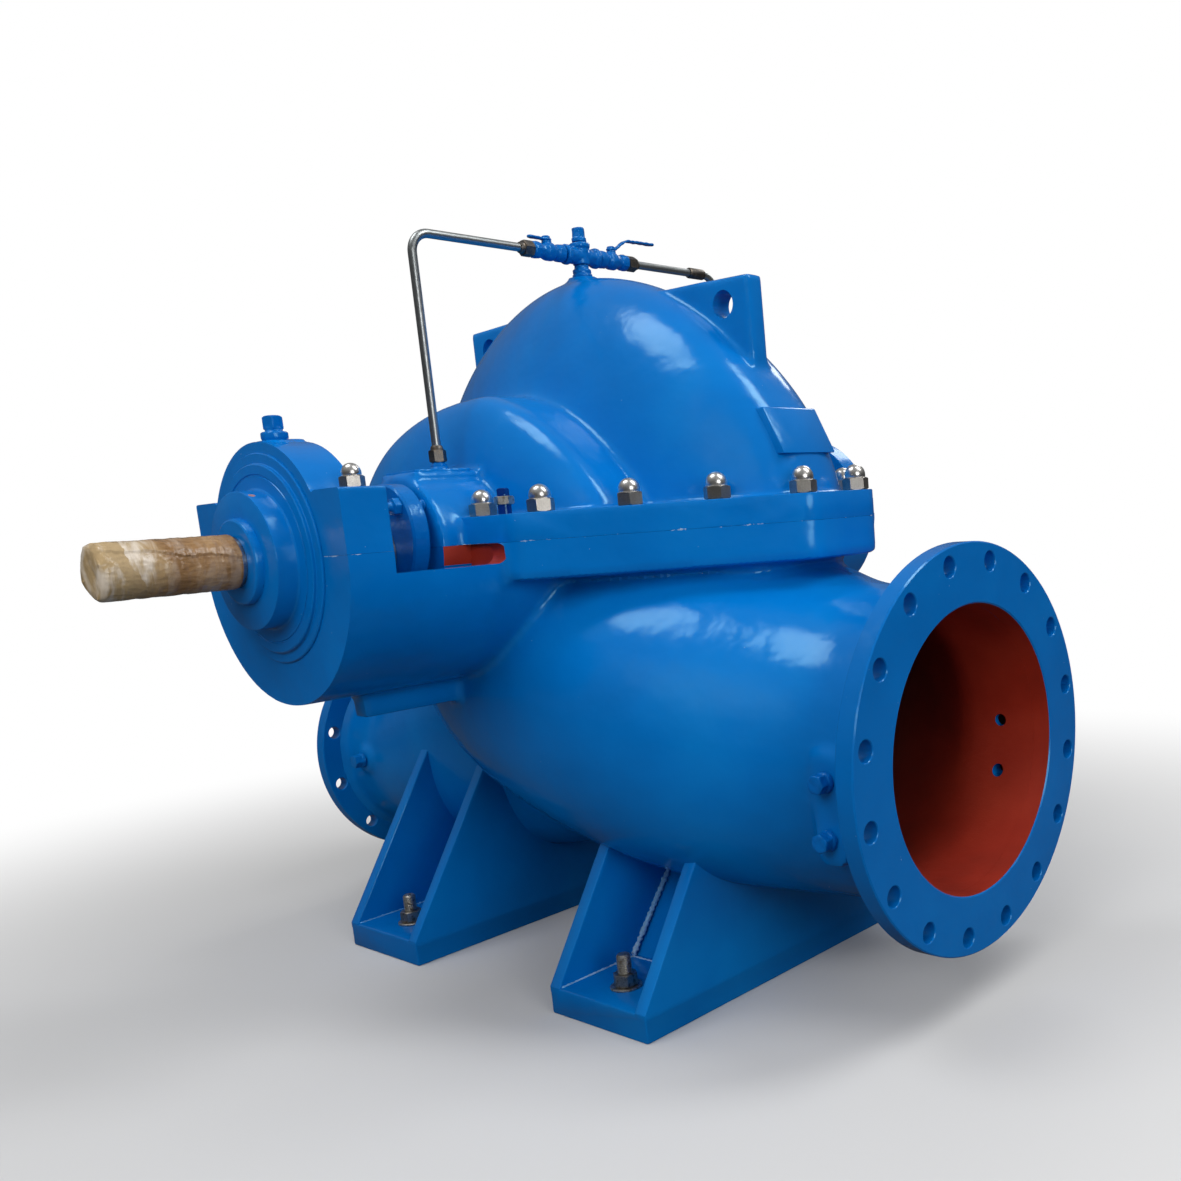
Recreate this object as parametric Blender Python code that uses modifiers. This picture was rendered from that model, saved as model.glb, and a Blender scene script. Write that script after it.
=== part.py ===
# Double-suction water pump with an axially split casing, on two welded feet.
#
# The casing frame used below: the shaft lies along Y with its drive end at -Y,
# the suction flange faces +X, the discharge flange faces -X, and Z is zero on the shaft
# axis, where the casing is split. Everything hangs on one empty, which puts that frame
# at its height, with the origin of the part in the middle of its footprint on the floor.
# All lengths are in metres.

import bpy
import bmesh
from math import atan2, copysign, cos, pi, radians, sin, sqrt, tan
from mathutils import Matrix, Vector

# Fits and broken edges
edge_break = 0.002
seat_gap = 0.0003            # between pieces that touch
shaft_clearance = 0.0005     # round the shaft where a cover or gland carries it
lever_clearance = 0.0003     # round a valve lever's spindle

# How far a shape runs past the face that trims it, or into the body that it joins
overrun = 0.020

# Overall places
shaft_height = 0.690
suction_reach = 0.717        # shaft axis to suction face
suction_drop = 0.324         # shaft axis down to the suction nozzle's axis
discharge_reach = 0.680
discharge_drop = 0.405
shaft_reach = 0.800          # casing centre to the wrapped shaft's end

# Suction flange, DN 400 PN 10
suction_bore = 0.400
suction_flange_diameter = 0.565
suction_flange_thickness = 0.028
suction_bolt_circle = 0.515
suction_bolt_holes = 16
suction_hole_diameter = 0.028

# Discharge flange, DN 300 PN 10
discharge_bore = 0.300
discharge_flange_diameter = 0.445
discharge_flange_thickness = 0.026
discharge_bolt_circle = 0.400
discharge_bolt_holes = 12
discharge_hole_diameter = 0.023

# Nozzles and the passages inside them
nozzle_wall = 0.024
flange_fillet = 0.016        # flare of the nozzle into the back of its flange
suction_passage_end = 0.217  # shaft axis to the passage's blind end
suction_passage_straight = 0.120
suction_passage_swell = 0.100
suction_passage_rise = 0.030 # of its floor at the blind end
discharge_passage_end = 0.250
discharge_passage_swell = 0.040

# Split flange, seen from above
split_upper_thickness = 0.038
split_lower_thickness = 0.055
split_half_length = 0.516    # along X
split_end_half_width = 0.067 # half of the straight end across Y
split_front_half_width = 0.215
split_front_setback = 0.037  # stuffing box's face back to the straight front edge
split_corner_radius = 0.035

# Volute and suction chambers of the upper casing
volute_radius = 0.474        # at the split, along X
volute_height = 0.410
volute_half_width = 0.160
volute_ridge = 2.1           # power of the outline across the ridge, at the top
volute_side_ridge = 2.8      # the same at the split on the suction side, where the rim is broad
volute_far_ridge = 1.6       # the same at the split on the discharge side
volute_shoulder = 1.78       # power of the outline round the shaft
chamber_radius = 0.278       # at the split, towards the suction side
chamber_far_radius = 0.390   # the same towards the discharge side
chamber_height = 0.220
chamber_reach = 0.278        # casing centre to the chamber's closed end
chamber_crown = 0.212        # where the chamber starts to close
chamber_shoulder = 1.5
chamber_far_shoulder = 2.15
crease_softness = 0.030      # how widely the volute blends into the chambers
lower_volute_radius = 0.450
lower_volute_half_width = 0.190

# Suction chamber of the lower casing
belly_half_width = 0.335     # widest place across Y
belly_middle = 0.100         # shaft axis to the widest place
suction_neck_length = 0.069  # flange to where the neck starts to widen into the chamber
belly_tail = 0.400           # widest place to the chamber's far end
belly_top = 0.010
belly_floor_start = 0.400    # shaft axis to where the floor starts to rise
belly_floor_rise = 0.400
belly_tail_power = 2.6
belly_floor_power = 1.85

# Channel from the volute to the discharge nozzle
discharge_neck_length = 0.094
channel_end = 0.100          # shaft axis to the channel's end under the volute
channel_narrowing = 0.086
channel_top_swell = 0.170
channel_floor_rise = 0.150

# Stuffing boxes
stuffing_radius = 0.103
stuffing_reach = 0.389       # casing centre to the stuffing box's face
stuffing_bore = 0.066
stuffing_pad_height = 0.110
stuffing_pad_width = 0.092
stuffing_pad_inset = 0.008   # stuffing box's face back to the pad
stuffing_pad_root = 0.050

# Bearing brackets and housings
bracket_radius = 0.197
bracket_wall = 0.028
bracket_rib_thickness = 0.032
bracket_rib_inset = 0.093    # bearing face back to the rib's end
bracket_rib_depth = 0.034
housing_length = 0.076
window_length = 0.070        # gland to drive bearing housing, where a spanner goes
window_back_depth = 0.045    # stuffing box's face back to the end of the window
rear_housing_length = 0.040  # the rear bearing is shorter and has a narrower bracket
rear_window_length = 0.068
rear_bracket_radius = 0.160
rear_ear_height = 0.030
window_floor = 0.028         # bracket edge below the split
cap_radius = 0.152
ear_height = 0.082
ear_width = 0.062
cover_radius = 0.138
cover_step_radius = 0.124
cover_step = 0.008
cover_rim = 0.003
boss_radius = 0.090
boss_length = 0.036          # bearing face to the boss's end
boss_fillet = 0.006
lip_radius = 0.056
lip_length = 0.010

# Shaft
shaft_radius = 0.032
sleeve_radius = 0.045
sleeve_room = 0.005          # round the sleeve inside the castings
end_room = 0.006             # shaft end to the closed rear cover, wrap to the drive cover
wrap_thickness = 0.0045

# Glands
gland_radius = 0.104
gland_thickness = 0.026
gland_gap = 0.022            # gland flange to stuffing box face
gland_nose_radius = 0.060
gland_nose_depth = 0.012     # into the stuffing box
gland_way_depth = 0.020      # of the counterbore that takes the nose

# Lifting lugs
suction_lug_reach = 0.376
discharge_lug_reach = 0.301
lug_height = 0.356
discharge_lug_height = 0.368
lug_width = 0.186
lug_thickness = 0.034
lug_root_outer = 0.100       # how far down each edge of the lug's plate runs into the casing
lug_root_inner = 0.200
lug_top_fall = 0.006
lug_hole_radius = 0.020
lug_hole_inset = 0.052
lug_hole_drop = 0.036

# Boss under the vent, a low cone
vent_boss_radius = 0.032
vent_boss_top_radius = 0.024
vent_boss_root = 0.040
vent_boss_rise = 0.004

# Bare flat pad on the rim of the volute at each side
rim_pad_low = 0.095
rim_pad_high = 0.162
rim_pad_low_reach = 0.452
rim_pad_high_reach = 0.418
rim_pad_half_width = 0.058
rim_pad_depth = 0.090

# Feet
foot_inner = 0.178
foot_outer = 0.385
foot_half_length = 0.352
foot_base_thickness = 0.042
foot_plate = 0.022
foot_top_drop = 0.308        # shaft axis to the side plates' top, above the casing's flanks
foot_lean = 33.0             # degrees from upright of the side plates' ends
foot_weld_depth = 0.010      # plates into the base
foot_web_inset = 0.144       # foot end to the foot of the sloping web
foot_web_lean = 38.0         # degrees from upright of the web, up to the casing's underside
foundation_bolt_inset = 0.058
foundation_hole_radius = 0.015

# Oil filler plugs
filler_plug_setback = 0.030  # bearing face back to the oil filler's axis
filler_head_radius = 0.011
filler_collar_radius = 0.017
filler_collar_height = 0.013
filler_height = 0.034

# Flush pipework over the casing
pipe_line_height = 0.448
pipe_radius = 0.0065
pipe_bend = 0.030
pipe_drop_reach = 0.312
pipe_nut_width = 0.022
pipe_nut_length = 0.024
adapter_width = 0.024
adapter_length = 0.012
stem_radius = 0.0145
cross_radius = 0.014
cross_arm = 0.036
cross_riser = 0.022          # line to the top of the cross
valve_radius = 0.014
valve_length = 0.062
valve_neck_radius = 0.008
valve_neck_height = 0.010
lever_heel = 0.009           # spindle to the lever's back end
rear_lever_length = 0.088
rear_lever_rise = 0.018
drive_lever_length = 0.036
lever_width = 0.012
lever_thickness = 0.004
plug_width = 0.022
plug_length = 0.022

# Plugs in the nozzles
nozzle_plug_width = 0.026
nozzle_plug_length = 0.022
nozzle_plug_setback = 0.085  # suction face back to the plugs
nozzle_plug_spacing = 0.076
nozzle_pad_rise = 0.006      # pad face beyond the nozzle's widest place
nozzle_pad_half_width = 0.026
nozzle_pad_corner = 0.021
nozzle_pad_margin = 0.038    # pad end past the plugs' middle
discharge_plug_setback = 0.099
discharge_boss_radius = 0.024
discharge_boss_root = 0.004  # bore to the boss's inner end

# Points round the lofts and along them
ring_points = 32
crown_points = 44
neck_steps = 5
tail_steps = 6
volute_steps = 4
channel_steps = 5
passage_steps = 3

# Places worked out from the sizes above
axis_x = -(suction_reach - discharge_reach) / 2
gland_face = stuffing_reach + gland_gap + gland_thickness
bearing_reach = gland_face + window_length + housing_length
rear_bearing_reach = gland_face + rear_window_length + rear_housing_length
boss_reach = bearing_reach + boss_length
rear_reach = rear_bearing_reach + boss_length
axis_y = (shaft_reach - rear_reach) / 2
suction_neck = suction_bore / 2 + nozzle_wall
belly_neck = suction_reach - suction_flange_thickness - suction_neck_length
belly_floor_length = belly_floor_start - belly_middle + belly_tail
discharge_neck = discharge_bore / 2 + nozzle_wall
channel_start = discharge_reach - discharge_flange_thickness - discharge_neck_length
channel_length = channel_start + channel_end
foot_middle = (foot_inner + foot_outer) / 2
foot_top = -foot_top_drop
floor_level = -shaft_height
split_front = stuffing_reach - split_front_setback
window_back = stuffing_reach - window_back_depth
half_split = seat_gap / 2
huge = suction_reach + discharge_reach + shaft_reach + shaft_height


for old in list(bpy.data.objects):
    bpy.data.objects.remove(old, do_unlink=True)

parts = bpy.data.collections.new("split_case_pump")
cutters = bpy.data.collections.new("cutters")
bpy.context.scene.collection.children.link(parts)
bpy.context.scene.collection.children.link(cutters)
pump_origin = bpy.data.objects.new("pump_origin", None)
pump_origin.location = (axis_x, axis_y, shaft_height)
parts.objects.link(pump_origin)


def finish(name, colour, roughness, metallic):
    surface = bpy.data.materials.new(name)
    surface.use_nodes = True
    shader = surface.node_tree.nodes["Principled BSDF"]
    shader.inputs["Base Color"].default_value = (*colour, 1)
    shader.inputs["Roughness"].default_value = roughness
    shader.inputs["Metallic"].default_value = metallic
    surface.diffuse_color = (*colour, 1)
    return surface


blue_paint = (0.008, 0.155, 0.52)
steel = (0.42, 0.41, 0.40)


def place(item, surface=None):
    # A piece goes to the parts, and a shape without a surface is a cutter.
    item.parent = pump_origin
    if surface is None:
        cutters.objects.link(item)
        item.hide_render = True
        item.display_type = "WIRE"
    else:
        parts.objects.link(item)
        if item.type == "MESH":
            item.data.materials.clear()
        item.data.materials.append(surface)
    return item


def from_bmesh(name, shape, surface=None):
    mesh = bpy.data.meshes.new(name)
    shape.to_mesh(mesh)
    shape.free()
    return place(bpy.data.objects.new(name, mesh), surface)


def block(name, low, high, surface=None):
    low = Vector(low)
    high = Vector(high)
    shape = bmesh.new()
    bmesh.ops.create_cube(shape, size=1)
    bmesh.ops.scale(shape, verts=shape.verts, vec=high - low)
    item = from_bmesh(name, shape, surface)
    item.location = (low + high) / 2
    return item


def rod(name, start, end, radius, surface=None, sides=32, end_radius=None):
    start = Vector(start)
    end = Vector(end)
    along = end - start
    shape = bmesh.new()
    bmesh.ops.create_cone(
        shape,
        cap_ends=True,
        segments=sides,
        radius1=radius,
        radius2=radius if end_radius is None else end_radius,
        depth=along.length,
    )
    item = from_bmesh(name, shape, surface)
    item.location = (start + end) / 2
    item.rotation_euler = along.to_track_quat("Z", "Y").to_euler()
    return item


def hexagon(name, start, end, width, surface=None):
    return rod(name, start, end, width / sqrt(3), surface, sides=6)


def turned(name, base, direction, profile, surface=None, sides=48):
    # The profile lists (radius, distance along the direction) down the outer side.
    mesh = bpy.data.meshes.new(name)
    points = [(radius, 0, height) for radius, height in profile]
    edges = [(i, i + 1) for i in range(len(points) - 1)]
    if profile[0][0] > 0:
        edges.append((len(points) - 1, 0))
    mesh.from_pydata(points, edges, [])
    item = place(bpy.data.objects.new(name, mesh), surface)
    item.location = base
    item.rotation_euler = Vector(direction).to_track_quat("Z", "Y").to_euler()
    screw = item.modifiers.new("turn", "SCREW")
    screw.steps = sides
    screw.render_steps = sides
    screw.use_merge_vertices = True
    screw.merge_threshold = 0.00005
    return item


def outline_solid(name, points, thickness, matrix, surface=None):
    # A flat outline with its thickness centred on the outline's own plane.
    curve = bpy.data.curves.new(name + "_outline", "CURVE")
    curve.dimensions = "2D"
    curve.fill_mode = "BOTH"
    curve.extrude = thickness / 2
    spline = curve.splines.new("POLY")
    spline.points.add(len(points) - 1)
    for point, (x, y) in zip(spline.points, points):
        point.co = (x, y, 0, 1)
    spline.use_cyclic_u = True
    drawn = bpy.data.objects.new(name + "_outline", curve)
    cutters.objects.link(drawn)
    bpy.context.view_layer.update()
    graph = bpy.context.evaluated_depsgraph_get()
    mesh = bpy.data.meshes.new_from_object(drawn.evaluated_get(graph))
    bpy.data.objects.remove(drawn, do_unlink=True)
    shape = bmesh.new()
    shape.from_mesh(mesh)
    bmesh.ops.remove_doubles(shape, verts=shape.verts, dist=0.00002)
    bmesh.ops.recalc_face_normals(shape, faces=shape.faces)
    bpy.data.meshes.remove(mesh)
    item = from_bmesh(name, shape, surface)
    item.matrix_local = matrix
    return item


def rounded(points, radius, steps=5):
    # Corners of a closed outline replaced by arcs.
    rounded_points = []
    count = len(points)
    for i in range(count):
        corner = Vector(points[i])
        before = (Vector(points[i - 1]) - corner).normalized()
        after = (Vector(points[(i + 1) % count]) - corner).normalized()
        half = before.angle(after) / 2
        middle = corner + (before + after).normalized() * radius / sin(half)
        first = corner + before * radius / tan(half) - middle
        last = corner + after * radius / tan(half) - middle
        swing = first.angle_signed(last)
        for k in range(steps + 1):
            turn = atan2(first.y, first.x) - swing * k / steps
            rounded_points.append((middle.x + radius * cos(turn), middle.y + radius * sin(turn)))
    return rounded_points


def loft(name, rings, surface=None):
    # Triangles, so that a grown copy has the same folds as the shape that it clears.
    shape = bmesh.new()
    rows = [[shape.verts.new(point) for point in ring] for ring in rings]
    count = len(rows[0])
    for row, following in zip(rows, rows[1:]):
        for i in range(count):
            j = (i + 1) % count
            shape.faces.new((row[i], row[j], following[j]))
            shape.faces.new((row[i], following[j], following[i]))
    shape.faces.new(rows[0])
    shape.faces.new(rows[-1])
    bmesh.ops.recalc_face_normals(shape, faces=shape.faces)
    return from_bmesh(name, shape, surface)


def oval(half_width, half_height, power, count=ring_points):
    # Points of a superellipse; a power of 2 gives an ellipse.
    points = []
    for i in range(count):
        turn = 2 * pi * (i + 0.5) / count
        across = copysign(abs(cos(turn)) ** (2 / power), cos(turn))
        up = copysign(abs(sin(turn)) ** (2 / power), sin(turn))
        points.append((half_width * across, half_height * up))
    return points


def combine(target, tool, operation, solver="EXACT"):
    step = target.modifiers.new(operation.lower(), "BOOLEAN")
    step.object = tool
    step.operation = operation
    step.solver = solver


def join(target, *tools, solver="EXACT"):
    for tool in tools:
        combine(target, tool, "UNION", solver)


def cut(target, *tools, solver="EXACT"):
    for tool in tools:
        combine(target, tool, "DIFFERENCE", solver)


def hole_ring(name, centre, circle, count, radius, depth):
    # Parallel holes along X, straddling the centrelines of a flange.
    shape = bmesh.new()
    for i in range(count):
        turn = 2 * pi * (i + 0.5) / count
        spot = Vector(centre) + Vector((0, cos(turn), sin(turn))) * circle / 2
        matrix = Matrix.Translation(spot) @ Matrix.Rotation(pi / 2, 4, "Y")
        bmesh.ops.create_cone(
            shape, cap_ends=True, segments=12, radius1=radius, radius2=radius, depth=depth, matrix=matrix
        )
    return from_bmesh(name, shape)


# Body shapes that several pieces share

def section_x(x, half_width, top, bottom, power, grow):
    middle = (top + bottom) / 2
    half_height = (top - bottom) / 2
    return [(x, y, middle + z) for y, z in oval(half_width + grow, half_height + grow, power)]


def neck_rings(side, reach, flange_thickness, neck, level):
    # The nozzle's neck flares where it meets the back of its flange.
    face = reach - flange_thickness - seat_gap
    rings = []
    for back, flare in ((0, 1), (0.4, 0.4), (1.25, 0)):
        radius = neck + flange_fillet * flare
        rings.append((side * (face - flange_fillet * back), radius, level + radius, level - radius, 2.0))
    return rings


def suction_body(name, grow=0, surface=None):
    # The nozzle's neck widens into a rounded chamber, whose floor rises towards its far end.
    level = -suction_drop
    rings = neck_rings(1, suction_reach, suction_flange_thickness, suction_neck, level)
    stations = []
    for k in range(neck_steps):
        stations.append(belly_neck + (belly_middle - belly_neck) * (k + 0.3) / neck_steps)
    for k in range(tail_steps):
        stations.append(belly_middle - belly_tail * sin(pi / 2 * k / tail_steps))
    for x in stations:
        toward_neck = max(x - belly_middle, 0) / (belly_neck - belly_middle)
        toward_tail = max(belly_middle - x, 0) / belly_tail
        spread = (1 + cos(pi * toward_neck ** 1.5)) / 2
        lift = (1 + cos(pi * toward_neck ** 1.1)) / 2
        closing = (1 - toward_tail ** belly_tail_power) ** (1 / belly_tail_power)
        width = (suction_neck + (belly_half_width - suction_neck) * spread) * closing
        top = level + suction_neck + (belly_top - level - suction_neck) * lift
        along_floor = max(belly_floor_start - x, 0) / belly_floor_length
        fall = (1 - along_floor ** belly_floor_power) ** (1 / belly_floor_power)
        bottom = level - suction_neck + belly_floor_rise * (1 - fall)
        end = x - 2 * grow * toward_tail
        rings.append((end, width, top, bottom, 2.0 + 0.3 * spread * closing))
    return loft(name, [section_x(*ring, grow) for ring in rings], surface)


def discharge_body(name, grow=0):
    # The channel swells upward from the neck to the underside of the volute.
    level = -discharge_drop
    rings = neck_rings(-1, discharge_reach, discharge_flange_thickness, discharge_neck, level)
    for k in range(channel_steps + 1):
        share = k / channel_steps
        width = discharge_neck - channel_narrowing * share ** 3
        top = level + discharge_neck + channel_top_swell * sin(pi * 0.62 * share ** 1.2)
        bottom = level - discharge_neck + channel_floor_rise * share ** 4.5
        power = 2.0 + 0.3 * sin(pi * share)
        rings.append((channel_length * share - channel_start, width, top, bottom, power))
    return loft(name, [section_x(*ring, grow) for ring in rings])


def soft_maximum(first, second, softness):
    gap = max(softness - abs(first - second), 0) / softness
    return max(first, second) + gap * gap * softness / 4


def polar(half_width, height, power, turn):
    across = abs(cos(turn)) / half_width
    up = abs(sin(turn)) / height
    return (across ** power + up ** power) ** (-1 / power)


def volute_share(y, turn):
    # The rim is a ridge at the top and broadens down the suction side.
    side_ridge = volute_side_ridge if cos(turn) > 0 else volute_far_ridge
    power = volute_ridge + (side_ridge - volute_ridge) * cos(turn) ** 2
    reach = min(abs(y) / volute_half_width, 0.9999)
    return (1 - reach ** power) ** (1 / power)


def chamber_share(y):
    reach = (abs(y) - chamber_crown) / (chamber_reach - chamber_crown)
    reach = min(max(reach, 0), 0.9999)
    return (1 - reach ** 2.4) ** (1 / 2.4)


def crown_body(name, surface):
    # The ridge of the volute and the suction chamber on each side of it, in one skin.
    chamber_close = chamber_reach - chamber_crown
    half = [0.0]
    half += [volute_half_width * step for step in (0.05, 0.13, 0.24, 0.38, 0.55, 0.72, 0.88, 1.0)]
    half += [chamber_crown + chamber_close * step for step in (0.0, 0.35, 0.6, 0.8, 0.92, 0.985)]
    rings = []
    for y in [-y for y in reversed(half[1:])] + half:
        ring = []
        for i in range(crown_points):
            turn = 2 * pi * (i + 0.5) / crown_points
            share = volute_share(y, turn)
            ridge = polar(volute_radius * share, volute_height * share, volute_shoulder, turn)
            share = chamber_share(y)
            wide, shoulder = chamber_radius, chamber_shoulder
            if cos(turn) < 0:
                wide, shoulder = chamber_far_radius, chamber_far_shoulder
            chamber = polar(wide * share, chamber_height * share, shoulder, turn)
            radius = soft_maximum(ridge, chamber, crease_softness)
            ring.append((radius * cos(turn), y, radius * sin(turn)))
        rings.append(ring)
    return loft(name, rings, surface)


def volute_body(name):
    rings = []
    for k in range(-volute_steps, volute_steps + 1):
        station = sin(pi / 2 * k / (volute_steps + 0.6))
        y = station * lower_volute_half_width
        radius = lower_volute_radius * (1 - abs(station) ** 3) ** (1 / 3)
        rings.append([(x, y, z) for x, z in oval(radius, radius, 2.1)])
    return loft(name, rings)


def split_plate(name, low, high):
    # Its ends taper to the straight edges beside the nozzles.
    end_x, end_y = split_half_length, split_end_half_width
    front_x, front_y = split_front_half_width, split_front
    corners = [
        (end_x, -end_y),
        (end_x, end_y),
        (front_x, front_y),
        (-front_x, front_y),
        (-end_x, end_y),
        (-end_x, -end_y),
        (-front_x, -front_y),
        (front_x, -front_y),
    ]
    outline = rounded(corners, split_corner_radius, 4)
    return outline_solid(name, outline, high - low, Matrix.Translation((0, 0, (low + high) / 2)))


def stuffing_box(name, side):
    return rod(
        name,
        (0, side * stuffing_reach, 0),
        (0, side * volute_half_width, 0),
        stuffing_radius,
        sides=40,
    )


def shaft_way(name, radius):
    return rod(name, (0, -shaft_reach, 0), (0, shaft_reach, 0), radius, sides=32)


def above_split(name):
    return block(name, (-huge, -huge, -half_split), (huge, huge, huge))


def below_split(name):
    return block(name, (-huge, -huge, -huge), (huge, huge, half_split))


def lower_casing():
    casing = suction_body("lower_casing", 0, finish("lower_casing_paint", blue_paint, 0.3, 0.0))
    plate = split_plate("lower_split_plate", -split_lower_thickness, overrun)
    join(casing, volute_body("lower_volute"), discharge_body("lower_discharge"), plate)
    join(casing, bearing_brackets(), solver="MANIFOLD")
    for side, end in ((-1, "drive"), (1, "rear")):
        join(casing, bracket_rib(end + "_rib", side), solver="MANIFOLD")
    cut(casing, above_split("above_lower_casing"))
    for side, end in ((-1, "drive"), (1, "rear")):
        reach, length, radius = bearing_sizes(side)
        inner_end = side * (reach - length)
        trough = rod(
            end + "_trough",
            (0, inner_end, 0),
            (0, side * window_back, 0),
            radius - bracket_wall,
            sides=32,
        )
        low_y = min(inner_end, side * window_back)
        high_y = max(inner_end, side * window_back)
        window = block(
            end + "_window",
            (-radius - overrun, low_y, -window_floor),
            (radius + overrun, high_y, overrun),
        )
        cut(casing, trough, window)
        join(casing, half_stuffing_box(end + "_stuffing_lower", side))
        join(casing, nozzle_pad(end + "_nozzle_pad", side), discharge_boss(end + "_discharge_boss", side))
    for tool in suction_passage(), discharge_passage():
        cut(casing, tool)
    cut(casing, shaft_way("lower_shaft_way", sleeve_radius + sleeve_room))
    cut(casing, gland_way("lower_drive_gland_way", -1), gland_way("lower_rear_gland_way", 1))
    return casing


def bearing_sizes(side):
    if side < 0:
        return bearing_reach, housing_length, bracket_radius
    return rear_bearing_reach, rear_housing_length, rear_bracket_radius


def bearing_brackets():
    # One turned body through the casing, wider at the drive end.
    return turned(
        "bearing_brackets",
        (0, -bearing_reach, 0),
        (0, 1, 0),
        [
            (0, bearing_reach + rear_bearing_reach),
            (rear_bracket_radius, bearing_reach + rear_bearing_reach),
            (rear_bracket_radius, bearing_reach),
            (bracket_radius, bearing_reach),
            (bracket_radius, 0),
            (0, 0),
        ],
        sides=48,
    )


def bracket_rib(name, side):
    reach, length, radius = bearing_sizes(side)
    tip = side * (reach - bracket_rib_inset)
    return block(
        name,
        (-bracket_rib_thickness / 2, min(0, tip), -radius - bracket_rib_depth),
        (bracket_rib_thickness / 2, max(0, tip), -radius + bracket_wall / 2),
    )


def nozzle_pad(name, side):
    # Upright pad with rounded ends under the two plugs beside the suction flange.
    x = suction_reach - nozzle_plug_setback
    half = nozzle_pad_half_width
    top = nozzle_pad_margin - suction_drop
    bottom = -suction_drop - nozzle_plug_spacing - nozzle_pad_margin
    corners = [(x - half, bottom), (x + half, bottom), (x + half, top), (x - half, top)]
    outline = rounded(corners, nozzle_pad_corner, 4)
    face = suction_neck + nozzle_pad_rise
    root = suction_bore / 2 - nozzle_wall
    return outline_solid(
        name,
        outline,
        face - root,
        Matrix.Translation((0, side * (face + root) / 2, 0)) @ Matrix.Rotation(pi / 2, 4, "X"),
    )


def discharge_boss(name, side):
    x = -(discharge_reach - discharge_plug_setback)
    face = side * (discharge_neck + nozzle_pad_rise)
    root = side * (discharge_bore / 2 + discharge_boss_root)
    level = -discharge_drop
    return rod(name, (x, root, level), (x, face, level), discharge_boss_radius, sides=16)


def gland_way(name, side):
    # Room for the gland's nose in the mouth of the stuffing box.
    mouth = side * (stuffing_reach + overrun)
    bottom = side * (stuffing_reach - gland_way_depth)
    return rod(name, (0, mouth, 0), (0, bottom, 0), stuffing_bore, sides=32)


def half_stuffing_box(name, side):
    low = min(side * stuffing_reach, side * (window_back - overrun / 2))
    high = max(side * stuffing_reach, side * (window_back - overrun / 2))
    barrel = rod(name, (0, low, 0), (0, high, 0), stuffing_radius, sides=40)
    cut(barrel, above_split(name + "_top"))
    return barrel


def suction_passage():
    # Straight behind the flange, then wider and higher to pass round the volute.
    bore = suction_bore / 2
    level = -suction_drop
    face = suction_reach - suction_flange_thickness
    bend = face - suction_passage_straight
    rings = [(face + overrun / 2, bore, level + bore, level - bore, 2.0)]
    for k in range(passage_steps + 1):
        share = k / passage_steps
        swell = suction_passage_swell * sin(pi / 2 * share)
        bottom = level - bore + suction_passage_rise * share ** 2.3
        x = bend + (suction_passage_end - bend) * share
        rings.append((x, bore + swell * 0.9, level + bore + swell, bottom, 2.0 + 0.2 * share))
    tool = loft("suction_passage", [section_x(*ring, 0) for ring in rings])
    cut(tool, volute_body("passage_volute"))
    return tool


def discharge_passage():
    bore = discharge_bore / 2
    level = -discharge_drop
    face = -(discharge_reach - discharge_flange_thickness)
    rings = [(face - overrun / 2, bore, level + bore, level - bore, 2.0)]
    for k in range(1, passage_steps + 1):
        share = k / passage_steps
        swell = discharge_passage_swell * share ** 2
        x = face - (discharge_passage_end + face) * share
        width = bore - swell * 0.75
        rings.append((x, width, level + bore + swell, level - bore + swell / 4, 2.0 + 0.2 * share))
    return loft("discharge_passage", [section_x(*ring, 0) for ring in rings])


def upper_casing():
    casing = crown_body("upper_casing", finish("upper_casing_paint", blue_paint, 0.3, 0.0))
    join(casing, split_plate("upper_split_plate", -overrun, split_upper_thickness))
    for side, end in ((-1, "drive"), (1, "rear")):
        join(casing, stuffing_box(end + "_stuffing_upper", side))
        low = min(side * (stuffing_reach - stuffing_pad_inset), side * chamber_crown)
        high = max(side * (stuffing_reach - stuffing_pad_inset), side * chamber_crown)
        half = stuffing_pad_width / 2
        join(
            casing,
            block(
                end + "_stuffing_pad",
                (-half, low, stuffing_pad_root),
                (half, high, stuffing_pad_height),
            ),
        )
    for side, end in ((-1, "discharge"), (1, "suction")):
        reach = suction_lug_reach if side > 0 else discharge_lug_reach
        top = lug_height if side > 0 else discharge_lug_height
        join(casing, lug(end + "_lug", side, reach, top), rim_pad(end + "_rim_pad", side))
        eye_x = side * (reach - lug_hole_inset)
        eye_z = top - lug_hole_drop
        eye = rod(
            end + "_eye", (eye_x, -lug_thickness * 2, eye_z), (eye_x, lug_thickness * 2, eye_z),
            lug_hole_radius, sides=24,
        )
        cut(casing, eye)
    join(
        casing,
        rod(
            "vent_boss",
            (0, 0, volute_height - vent_boss_root),
            (0, 0, volute_height + vent_boss_rise),
            vent_boss_radius,
            sides=24,
            end_radius=vent_boss_top_radius,
        ),
        solver="MANIFOLD",
    )
    cut(casing, below_split("below_upper_casing"), shaft_way("upper_shaft_way", sleeve_radius + sleeve_room))
    cut(casing, gland_way("upper_drive_gland_way", -1), gland_way("upper_rear_gland_way", 1))
    return casing


def lug(name, side, reach, top):
    # A plate in the plane of the volute; its eye near the outer top corner is cut afterwards.
    outline = [
        (reach - lug_width, lug_root_inner),
        (reach, lug_root_outer),
        (reach, top),
        (reach - lug_width, top + lug_top_fall),
    ]
    return outline_solid(
        name,
        [(side * x, z) for x, z in outline],
        lug_thickness,
        Matrix.Rotation(pi / 2, 4, "X"),
    )


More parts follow.
